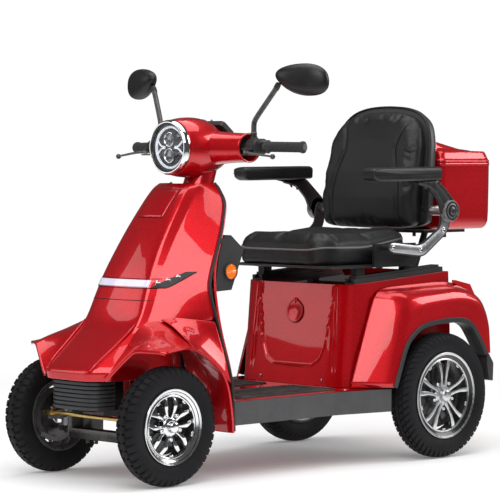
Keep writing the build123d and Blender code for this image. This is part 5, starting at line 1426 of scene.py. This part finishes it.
def build_grips():
    """Rubber grips: flanged sleeves with a diamond pattern cut between crossing grooves."""
    axis = GRIP_END - GRIP_START
    length = float(np.linalg.norm(axis)) - 4

    def diamonds(angle, along, radius):
        """Groove depth where either of two crossing spirals passes, on the plain part of the sleeve."""
        span = ease((along - 14) / 4) * ease((length - 22 - along) / 4)
        one = np.abs((angle * 9 / np.pi + along / 9) % 2 - 1)
        two = np.abs((angle * 9 / np.pi - along / 9) % 2 - 1)
        return -1.1 * (1 - ease(np.minimum(one, two) / 0.34)) * span

    outline = [(2, 12), (2, 20), (3, 21), (6, 21), (8, 18), (11, 16.4)]
    outline += [(s, 16.2) for s in np.arange(13, length - 16, 1.4)]
    outline += [(length - 13, 16.6), (length - 9, 18.6), (length - 4, 19), (length - 1, 18.2), (length, 15),
                (length, 4)]
    part = turned(outline, GRIP_START, axis, 108, relief=diamonds)
    piece("left_grip_rubber", [part], "grip_rubber", "steering", ["left_grip"], sharp=60)
    piece("throttle_grip_rubber", [mirrored(part)], "grip_rubber", "throttle", ["throttle_grip"],
          sharp=60)


def build_switch_pods():
    """Switch housings: two soft-edged halves round the bar, with switches and the lever clevis."""
    pods, lines, knobs = [], [], {"switch_blue": [], "switch_yellow": [], "satin_black": [], "button_red": []}
    for side in SIDES.values():
        face = rounded([(-315, 1000), (-306, 993), (-262, 993), (-251, 1002), (-251, 1030), (-262, 1041),
                        (-300, 1041), (-315, 1028)], 8, 6)
        pod = plate(face, [(0, 5), (2, 1.5), (5, 0), (38, 0), (42, 1.5), (44, 5)], (206, 0, 0), X, Y)
        pods.append(on_side(pod, side))
        # Dark band where the two halves meet: painted shade of the joint.
        seam = plate(face, [(0, -0.25), (1.0, -0.25)], (227, 0, 0), X, Y)
        lines.append(on_side(seam, side))
        for lift in (-8.8, 8.8):
            ear = plate(rounded([(219, -344), (245, -344), (245, -306), (219, -306)], 7, 5),
                        [(-2.2, 1), (-1, 0), (1, 0), (2.2, 1)], (0, 0, 1000 + lift), Z, X)
            pods.append(on_side(ear, side))
        pods.append(on_side(dome((232, -334, 1011), Z, 5, 2.5, 12), side))
        cap = rounded(box_corners(6, 3.5), 2, 4)
        for place, shade in (((216, -251.5, 1030), "switch_yellow" if side > 0 else "button_red"),
                             ((238, -251.5, 1030), "satin_black"), ((216, -251.5, 1010), "switch_blue")):
            if side < 0 and shade == "switch_blue":
                continue
            knobs[shade].append(on_side(plate(cap, [(0, 0), (4, 0), (5.5, 1)], place, Y, X), side))
    piece("switch_pod_shells", pods, "satin_black", "steering", ["switch_pods"], sharp=45)
    piece("switch_pod_seams", lines, "painted_shade_dark", "steering")
    for shade, parts in knobs.items():
        if parts:
            piece(f"switches_{shade}", parts, shade, "steering", sharp=45)
    button = turned([(0, 5), (0, 7), (6, 7), (7.6, 6), (8, 3)], (228, -255, 1006), Y, 28)
    piece("horn_button_cap", [button], "button_red", "horn", ["horn_button"])


def build_levers():
    """Brake levers: a curved blade that tapers from its pivot to a ball end."""
    for side_name, side in SIDES.items():
        path = soft_line([(232, -334, 1000), (256, -353, 998), (300, -351, 992), (356, -341, 986)], 14, 0.5)
        blade = circle(1.0, 14) * (5.2, 4.2)
        size = np.interp(np.linspace(0, 1, len(path)), [0, 0.2, 0.8, 1], [1.15, 1.0, 0.85, 0.8])
        hub = turned([(-6, 3.2), (-6, 7), (-5, 8), (5, 8), (6, 7), (6, 3.2)], (232, -334, 1000), Z, 28)
        t = np.linspace(0.12, np.pi - 0.12, 14)
        ball = turned(list(zip(-8.4 * np.cos(t), 8.4 * np.sin(t))), (356, -340.5, 985.5), X, 24)
        piece(f"brake_lever_{side_name}_blade", [on_side(p, side)
                                                       for p in (swept(path, blade, Z, size), hub, ball)],
              "lever_black", f"lever_{side_name}", [f"brake_lever_{side_name}"])


MIRROR_OUTLINE = [(-96, -24), (-70, -40), (-20, -50), (40, -49), (80, -28), (91, 4), (84, 34), (55, 50),
                  (0, 51), (-50, 34), (-92, 0)]


def build_mirrors():
    """Teardrop mirrors: domed shell with a rolled rim round the glass, on a bent stem and a ribbed collar."""
    outline = soft_line(MIRROR_OUTLINE, 8, 0.5, closed=True)
    sweep = math.radians(16.5)
    facing = (-math.sin(sweep), math.cos(sweep), 0)
    outwards = (math.cos(sweep), math.sin(sweep), 0)
    centre = np.array([371.0, -228.0, 1222.0])
    for side_name, side in SIDES.items():
        t = np.linspace(0.06, np.pi / 2, 12)
        bowl = [(-27 + 31 * (1 - np.cos(s)), 0, np.sin(s) ** 0.75) for s in t]
        shell_part = plate(outline, bowl + [(9, 0.3), (12.4, 1.6), (13, 3.4), (12, 5), (9.4, 6)], centre,
                           facing, outwards)
        glass = plate(outline, [(9.0, 6.2), (11.0, 6.2), (11.2, 7)], centre, facing, outwards)
        boss = turned([(-12, 8), (-6, 9.4), (6, 9.4), (12, 8)], (284, -250, 1201), (0.6, 0.1, 1), 24)
        piece(f"mirror_{side_name}_shell", [on_side(shell_part, side), on_side(boss, side)], "satin_black",
              f"mirror_{side_name}", [f"mirror_head_{side_name}"], sharp=60)
        piece(f"mirror_{side_name}_face", [on_side(glass, side)], "mirror_glass", f"mirror_{side_name}",
              [f"mirror_glass_{side_name}"], sharp=60)
    stem = soft_line([(215, -283, 1041), (215, -283, 1088), (221, -280, 1104), (268, -257, 1176),
                      (286, -250, 1203)], 10, [0, 0.3, 0.4, 0.3, 0])
    parts = [swept(stem, circle(8.4, 14), Y)]
    collar = [(0, 6), (0, 10), (2, 10.5)]
    for k in range(4):
        collar += [(3 + k * 4, 10.5), (4.5 + k * 4, 9), (6 + k * 4, 10.2)]
    collar += [(20, 8.5), (21, 6)]
    parts.append(turned(collar, (215, -283, 1041.5), Z, 32))
    piece("mirror_stem_bars", [m for p in parts for m in both(p)], "lever_black", "steering",
          ["mirror_stems"])


# ------------------------------------------------------------------ top box
def trunk_outline(inward):
    """The top box's plan, drawn in on every side."""
    half, front, back = 200 - inward, 608 + inward, 873 - inward
    return rounded([(-half, front), (half, front), (half, back), (-half, back)], [26, 26, 40, 40], 10)


def build_top_box():
    """Top box: tapered tub with a rolled waist, and a lid whose middle rises to a ridge that slopes back."""
    tub = plate(trunk_outline(0), [(0, 26), (3, 20), (10, 12), (26, 5), (60, 3), (150, 1.4), (222, 0.6),
                                   (228, 0), (230.5, 0.6)], (0, 0, 739.8), Z, X)
    waist = plate(trunk_outline(0), [(0, 0.2), (1.5, -0.8), (6, -0.8), (7.5, 0.2)], (0, 0, 955), Z, X)
    outline = trunk_outline(0)
    shares = np.concatenate([[0, 0.004, 0.010, 0.03], np.linspace(0.06, 1, 40)])[:, None, None]
    middle = np.array([0, 740.0])
    plan = outline[None] + (middle - outline[None]) * shares
    x, y = plan[..., 0], plan[..., 1]
    crown = 1002 - 30 * (1 - ease(shares[..., 0] / 0.09)) ** 1.2
    line = np.interp(y, [618, 630, 642, 690, 762, 836, 856], [0, 22, 31, 31.5, 10, 3, 0])
    ridge = line * ease((128 - np.abs(x)) / 16) * ease((y - 612) / 12)
    bow = 3 * np.cos(np.clip(x / 200, -1, 1) * np.pi / 2)
    z = np.maximum(972.6, crown) + ridge * ease(shares[..., 0] / 0.05) + (bow * ease(shares[..., 0] / 0.2))
    z = np.minimum(z, 1034)
    lid = shell(np.stack([x, y, z], axis=-1), wrap_columns=True, caps=(False, False), inside=(0, 740, 900))
    catches = []
    for place in (-120, 120):
        catches.append(plate(rounded(box_corners(13, 9), 4, 4), [(-1, 0), (3, 0), (4.5, 1.2)],
                             (place, 608, 968), (0, -1, 0), X))
    piece("top_box_tub", [tub, waist], "body_red", "chassis", ["top_box"], sharp=45)
    piece("top_box_cover", [lid], "body_red", "trunk_lid", ["top_box_lid"], sharp=40, wall=2.5)
    piece("top_box_catches", catches, "satin_black", "trunk_lid", sharp=45)
    lock = turned([(0, 8), (2.5, 8), (3.4, 7), (3.4, 3)], (0, 607.5, 945), (0, -1, 0), 24)
    piece("top_box_lock", [lock], "bright_steel", "chassis")


# ------------------------------------------------------------------ small parts
def build_reflectors():
    """Amber side reflectors: a domed lens with a crossed relief in a raised ring; the lens finish has a faint
    painted glow.
    """
    rings, lenses = [], []
    for side in SIDES.values():
        centre = (208.3, -378, 632)
        rings.append(on_side(turned([(0, 25), (0, 27), (5, 27), (7, 25.6), (7, 23.6), (5, 23)], centre, X, 64,
                                    closed=True), side))
        radius = np.linspace(23.8, 0.6, 20)[:, None]
        angle = np.linspace(0, 2 * np.pi, 96, endpoint=False)[None, :]
        ray = np.abs(((angle + np.pi / 4) % (np.pi / 2)) - np.pi / 4) * radius
        lift = 4.6 + 1.6 * np.cos(radius / 24 * np.pi / 2) + 1.2 * (1
                                                                    - ease(ray / 4.5)) * ease((22 - radius) / 4)
        grid = np.stack([centre[0] + lift, centre[1] + radius * np.sin(angle),
                         centre[2] + radius * np.cos(angle)], -1)
        lenses.append(on_side(shell(grid, wrap_columns=True, caps=(False, True), inside=(100, -378, 632)),
                              side))
    piece("reflector_rings", rings, "satin_black", "chassis", ["side_reflectors"], sharp=30)
    piece("reflector_lenses", lenses, "amber", "chassis", sharp=40)


def build_mats():
    """Ribbed footwell mats: rounded sheets with rows of long raised loops."""
    parts = []
    base = rounded(box_corners(105, 215), 24, 8)
    parts.append(plate(base, [(0, 0), (1.6, 0), (2.8, 0.8), (3.2, 2)], (155, -170, 243.2), Z, X))
    rib = rounded(box_corners(88, 5.5), 5.2, 6)
    for k in range(15):
        spot = (155, -170 + (k - 7) * 27, 246)
        parts.append(plate(rib, [(0, 0), (1.4, 0.3), (2.0, 1.4)], spot, Z, X))
    piece("floor_mat_sheets", [m for p in parts for m in both(p)], "mat_rubber", "chassis",
          ["floor_mats"], sharp=45)


def build_flap():
    """Round charging cover on the seat box with a small knob at its top."""
    tilt = np.array([0, -366, 34.0])
    tilt /= np.linalg.norm(tilt)
    up = np.array([0, 34, 366.0])
    up /= np.linalg.norm(up)
    base = np.array([0, 90, 244.0]) + up * 236 - tilt * 3.0
    cover = turned([(0, 36), (2.2, 36), (3.4, 34.6), (3.6, 31), (2.8, 29.5), (2.8, 8)], base, tilt, 64)
    knob = turned([(0, 9), (3, 9), (4.4, 8), (5.6, 5.4), (7, 5), (7.8, 3)], base + up * 36, tilt, 32)
    # Dark ring round the cover: painted shade of the gap.
    ring = turned([(-1, 36.6), (-1, 38), (0.6, 38), (0.6, 36.6)], base, tilt, 64, closed=True)
    piece("charge_cover_disc", [cover, knob], "body_red", "charge_cover", ["charge_flap"], sharp=40)
    piece("charge_cover_seam", [ring], "painted_shade_dark", "charge_cover")


def build_screws():
    """Panel screws with pressed crosses, on the seat box and the footboard."""
    heads, slots = [], []
    tilt = np.array([0, -366, 34.0])
    tilt /= np.linalg.norm(tilt)
    places = [((x, 90.6 + (z - 244) * 34 / 366, z), tilt) for x, z in ((140, 262), (-140, 262))]
    places += [((285, y, 243.4), Z) for y in (-436, 52)] + [((-285, y, 243.4), Z) for y in (-436, 52)]
    for place, way in places:
        heads.append(turned([(-1, 5), (0.6, 5), (1.8, 4), (2.3, 2)], place, way, 20))
        axis, first, second = plane_axes(way)
        # The crosses are dark raised bars: painted shade of the recessed crosses.
        for across in (first, second):
            start = np.asarray(place) + axis * 2.2
            slots.append(swept(np.stack([start - across * 2.4, start, start + across * 2.4]), circle(0.7, 6),
                               axis))
    piece("panel_screws", heads, "bright_steel", "chassis", ["body_screws"], sharp=40)
    piece("panel_screw_crosses", slots, "painted_shade_dark", "chassis")


# ------------------------------------------------------------------ stage
CAMERA_PLACE = (5.84575, -5.75433, 0.99602)
CAMERA_AZIMUTH = math.radians(45.91)
CAMERA_RISE = math.radians(2.189)
CAMERA_LENS = 182.31


def area_light(name, place, target, size, power, tint=(1, 1, 1)):
    lamp = bpy.data.lights.new(name, "AREA")
    lamp.shape = "RECTANGLE"
    lamp.size, lamp.size_y = size
    lamp.energy = power
    lamp.color = tint
    lamp_object = bpy.data.objects.new(name, lamp)
    lamp_object.location = place
    lamp_object.rotation_mode = "QUATERNION"
    lamp_object.rotation_quaternion = (Vector(target) - Vector(place)).to_track_quat("-Z", "Y")
    bpy.context.scene.collection.objects.link(lamp_object)


def build_stage(look):
    """Pale flat floor, soft studio light and the camera."""
    angle = np.linspace(0, 2 * np.pi, 96, endpoint=False)
    radius = np.array([0.001, 1500, 2500, 4000, 6000])[:, None]
    grid = np.stack([radius * np.cos(angle), radius * np.sin(angle), 0 * radius * angle], axis=-1)
    points, faces = shell(grid, wrap_columns=True, inside=(0, 0, -500))
    mesh = bpy.data.meshes.new("studio_floor")
    mesh.from_pydata((points * MM).tolist(), [], [f.tolist() for f in faces])
    floor = bpy.data.objects.new("studio_floor", mesh)
    bpy.context.scene.collection.objects.link(floor)
    material = bpy.data.materials.new("studio_white")
    material.use_nodes = True
    n = Nodes(material.node_tree)
    shader = material.node_tree.nodes["Principled BSDF"]
    place = n.add("ShaderNodeTexCoord").outputs["Object"]
    n.put(shader.inputs["Base Color"], n.mix(n.noise(place, 2.0), (0.93, 0.93, 0.93, 1), (0.96, 0.96, 0.96, 1)))
    shader.inputs["Roughness"].default_value = 0.6
    shader.inputs["Emission Color"].default_value = (1, 1, 1, 1)
    shader.inputs["Emission Strength"].default_value = 0.14
    far = n.add("ShaderNodeVectorMath")
    far.operation = "LENGTH"
    n.put(far.inputs[0], place)
    n.put(shader.inputs["Alpha"], n.math("SUBTRACT", 1.0,
                                         n.math("DIVIDE", n.math("SUBTRACT", far.outputs["Value"], 1.2), 2.6,
                                                clamp=True), clamp=True))
    mesh.materials.append(material)
    world = bpy.data.worlds.new("studio_air")
    bpy.context.scene.world = world
    world.use_nodes = True
    background = world.node_tree.nodes["Background"]
    background.inputs["Color"].default_value = (1.0, 1.0, 1.0, 1)
    background.inputs["Strength"].default_value = look.air
    sky = Nodes(world.node_tree)
    ray = sky.add("ShaderNodeLightPath").outputs
    lit = sky.math("SUBTRACT", look.air, sky.math("MULTIPLY", ray["Is Glossy Ray"], look.air * 0.82))
    sky.put(background.inputs["Strength"], sky.math("MAXIMUM", lit,
                                                       sky.math("MULTIPLY", ray["Is Camera Ray"], 1.02)))
    area_light("key_panel", (3.2, -3.6, 4.2), (0, 0, 0.5), (3.8, 3.8), look.key_power)
    area_light("front_panel", (-3.4, -4.4, 2.6), (0, -0.2, 0.6), (3.4, 4.0), look.key_power * 0.35)
    area_light("top_panel", (0, 0.3, 4.6), (0, 0.2, 0), (4.0, 4.0), look.key_power * 0.7)
    area_light("rear_panel", (2.6, 4.0, 2.8), (0, 0, 0.6), (2.4, 2.4), look.key_power * 0.5)
    camera_data = bpy.data.cameras.new("studio_camera")
    camera_data.lens = CAMERA_LENS
    camera_data.sensor_width = 36.0
    camera_data.clip_start, camera_data.clip_end = 0.1, 100.0
    camera = bpy.data.objects.new("studio_camera", camera_data)
    camera.location = CAMERA_PLACE
    back = Vector((math.sin(CAMERA_AZIMUTH) * math.cos(CAMERA_RISE),
                   -math.cos(CAMERA_AZIMUTH) * math.cos(CAMERA_RISE), math.sin(CAMERA_RISE)))
    camera.rotation_mode = "QUATERNION"
    camera.rotation_quaternion = (-back).to_track_quat("-Z", "Y")
    bpy.context.scene.collection.objects.link(camera)
    bpy.context.scene.camera = camera
    bpy.context.scene.view_settings.view_transform = "Standard"


# ------------------------------------------------------------------ settings, operators and panel
class ScooterSizes(bpy.types.PropertyGroup):
    """Sizes of the moulded and sewn details."""

    tread_depth: bpy.props.FloatProperty(name="Tread depth", description="Depth of the tyre grooves",
                                         default=0.0060, min=0.0, unit="LENGTH")
    panel_depth: bpy.props.FloatProperty(name="Panel depth",
                                         description="Depth of the seat box's pressed panel", default=0.0045,
                                         min=0.0, unit="LENGTH")
    piping_radius: bpy.props.FloatProperty(name="Welt radius",
                                           description="Radius of the welt round the cushions", default=0.0034,
                                           min=0.0005, unit="LENGTH")


class ScooterColours(bpy.types.PropertyGroup):
    """Colours of the bodywork."""

    body: bpy.props.FloatVectorProperty(name="Body colour", description="Deep colour of the bodywork paint",
                                        subtype="COLOR", size=3, default=(0.42, 0.0005, 0.004), min=0, max=1)
    body_flake: bpy.props.FloatVectorProperty(name="Flake colour",
                                              description="Colour of the bright flakes in it", subtype="COLOR",
                                              size=3, default=(0.78, 0.003, 0.012), min=0, max=1)


class ScooterLook(bpy.types.PropertyGroup):
    """Light of the studio."""

    key_power: bpy.props.FloatProperty(name="Key power", description="Power of the main light panel",
                                       default=170.0, min=0.0)
    air: bpy.props.FloatProperty(name="Air brightness", description="Strength of the even light all round",
                                 default=0.42, min=0.0)


class SCOOTER_OT_finishes(bpy.types.Operator):
    """Makes the finishes and gives every CAD node its own."""

    bl_idname = "scooter.finishes"
    bl_label = "Finishes"

    def execute(self, context):
        make_groups()
        make_finishes(context.scene.scooter_colours)
        for node, finish_name in NODE_FINISH.items():
            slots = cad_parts[node].data.materials
            slots.clear()
            slots.append(FINISH[finish_name])
        return {"FINISHED"}


class SCOOTER_OT_front_body(bpy.types.Operator):
    """Builds the leg shield, the nose and the fenders over the front wheels."""

    bl_idname = "scooter.front_body"
    bl_label = "Front body"

    def execute(self, context):
        build_front_body()
        build_rider_panel()
        return {"FINISHED"}


class SCOOTER_OT_front_details(bpy.types.Operator):
    """Builds the light bar, the lamp clusters, the grille and the side reflectors."""

    bl_idname = "scooter.front_details"
    bl_label = "Front details"

    def execute(self, context):
        build_front_lamps()
        build_grille()
        build_reflectors()
        return {"FINISHED"}


class SCOOTER_OT_rear_body(bpy.types.Operator):
    """Builds the seat box, its charging cover and the rear fenders."""

    bl_idname = "scooter.rear_body"
    bl_label = "Rear body"

    def execute(self, context):
        build_seat_box(context.scene.scooter_sizes)
        build_flap()
        build_fenders()
        return {"FINISHED"}


class SCOOTER_OT_wheels(bpy.types.Operator):
    """Builds the tyres, the rims, their spokes and the brake discs."""

    bl_idname = "scooter.wheels"
    bl_label = "Wheels"

    def execute(self, context):
        build_tyres(context.scene.scooter_sizes)
        build_rims()
        return {"FINISHED"}


class SCOOTER_OT_seat(bpy.types.Operator):
    """Builds the padded seat and backrest with their welts and seams."""

    bl_idname = "scooter.seat"
    bl_label = "Seat and backrest"

    def execute(self, context):
        build_seat_cushion(context.scene.scooter_sizes)
        build_backrest(context.scene.scooter_sizes)
        return {"FINISHED"}


class SCOOTER_OT_armrests(bpy.types.Operator):
    """Builds the armrests and the elbow links."""

    bl_idname = "scooter.armrests"
    bl_label = "Armrests and links"

    def execute(self, context):
        build_armrests()
        build_links()
        return {"FINISHED"}


class SCOOTER_OT_cowl(bpy.types.Operator):
    """Builds the handlebar cowl and the headlamp."""

    bl_idname = "scooter.cowl"
    bl_label = "Cowl and headlamp"

    def execute(self, context):
        build_cowl()
        build_headlamp()
        return {"FINISHED"}


class SCOOTER_OT_controls(bpy.types.Operator):
    """Builds the grips, the switch housings, the brake levers and the mirrors."""

    bl_idname = "scooter.controls"
    bl_label = "Controls and mirrors"

    def execute(self, context):
        build_grips()
        build_switch_pods()
        build_levers()
        build_mirrors()
        return {"FINISHED"}


class SCOOTER_OT_top_box(bpy.types.Operator):
    """Builds the top box and its lid."""

    bl_idname = "scooter.top_box"
    bl_label = "Top box"

    def execute(self, context):
        build_top_box()
        return {"FINISHED"}


class SCOOTER_OT_small_parts(bpy.types.Operator):
    """Builds the footwell mats and the panel screws."""

    bl_idname = "scooter.small_parts"
    bl_label = "Mats and screws"

    def execute(self, context):
        build_mats()
        build_screws()
        return {"FINISHED"}


class SCOOTER_OT_stage(bpy.types.Operator):
    """Sets up the floor, the light and the camera."""

    bl_idname = "scooter.stage"
    bl_label = "Stage"

    def execute(self, context):
        build_stage(context.scene.scooter_look)
        return {"FINISHED"}


OPERATORS = (SCOOTER_OT_finishes, SCOOTER_OT_front_body, SCOOTER_OT_front_details, SCOOTER_OT_rear_body,
             SCOOTER_OT_wheels, SCOOTER_OT_seat, SCOOTER_OT_armrests, SCOOTER_OT_cowl, SCOOTER_OT_controls,
             SCOOTER_OT_top_box, SCOOTER_OT_small_parts, SCOOTER_OT_stage)


class SCOOTER_PT_panel(bpy.types.Panel):
    """Lists the scooter's sizes, colours and pieces in the sidebar."""

    bl_idname = "SCOOTER_PT_panel"
    bl_label = "Mobility scooter"
    bl_space_type = "VIEW_3D"
    bl_region_type = "UI"
    bl_category = "Scooter"

    def draw(self, context):
        layout = self.layout
        for settings in (context.scene.scooter_sizes, context.scene.scooter_colours,
                         context.scene.scooter_look):
            box = layout.box()
            for key in settings.__annotations__:
                box.prop(settings, key)
        for operator in OPERATORS:
            layout.operator(operator.bl_idname)


SETTINGS = {"scooter_sizes": ScooterSizes, "scooter_colours": ScooterColours, "scooter_look": ScooterLook}
CLASSES = (*SETTINGS.values(), *OPERATORS, SCOOTER_PT_panel)


def register():
    for made in CLASSES:
        bpy.utils.register_class(made)
    for key, group in SETTINGS.items():
        setattr(bpy.types.Scene, key, bpy.props.PointerProperty(type=group))


def unregister():
    for key in SETTINGS:
        delattr(bpy.types.Scene, key)
    for made in reversed(CLASSES):
        bpy.utils.unregister_class(made)


def main():
    """Builds everything in order."""
    register()
    for operator in OPERATORS:
        group, call = operator.bl_idname.split(".")
        getattr(getattr(bpy.ops, group), call)()
    bpy.context.view_layer.update()


if __name__ == "__main__":
    main()
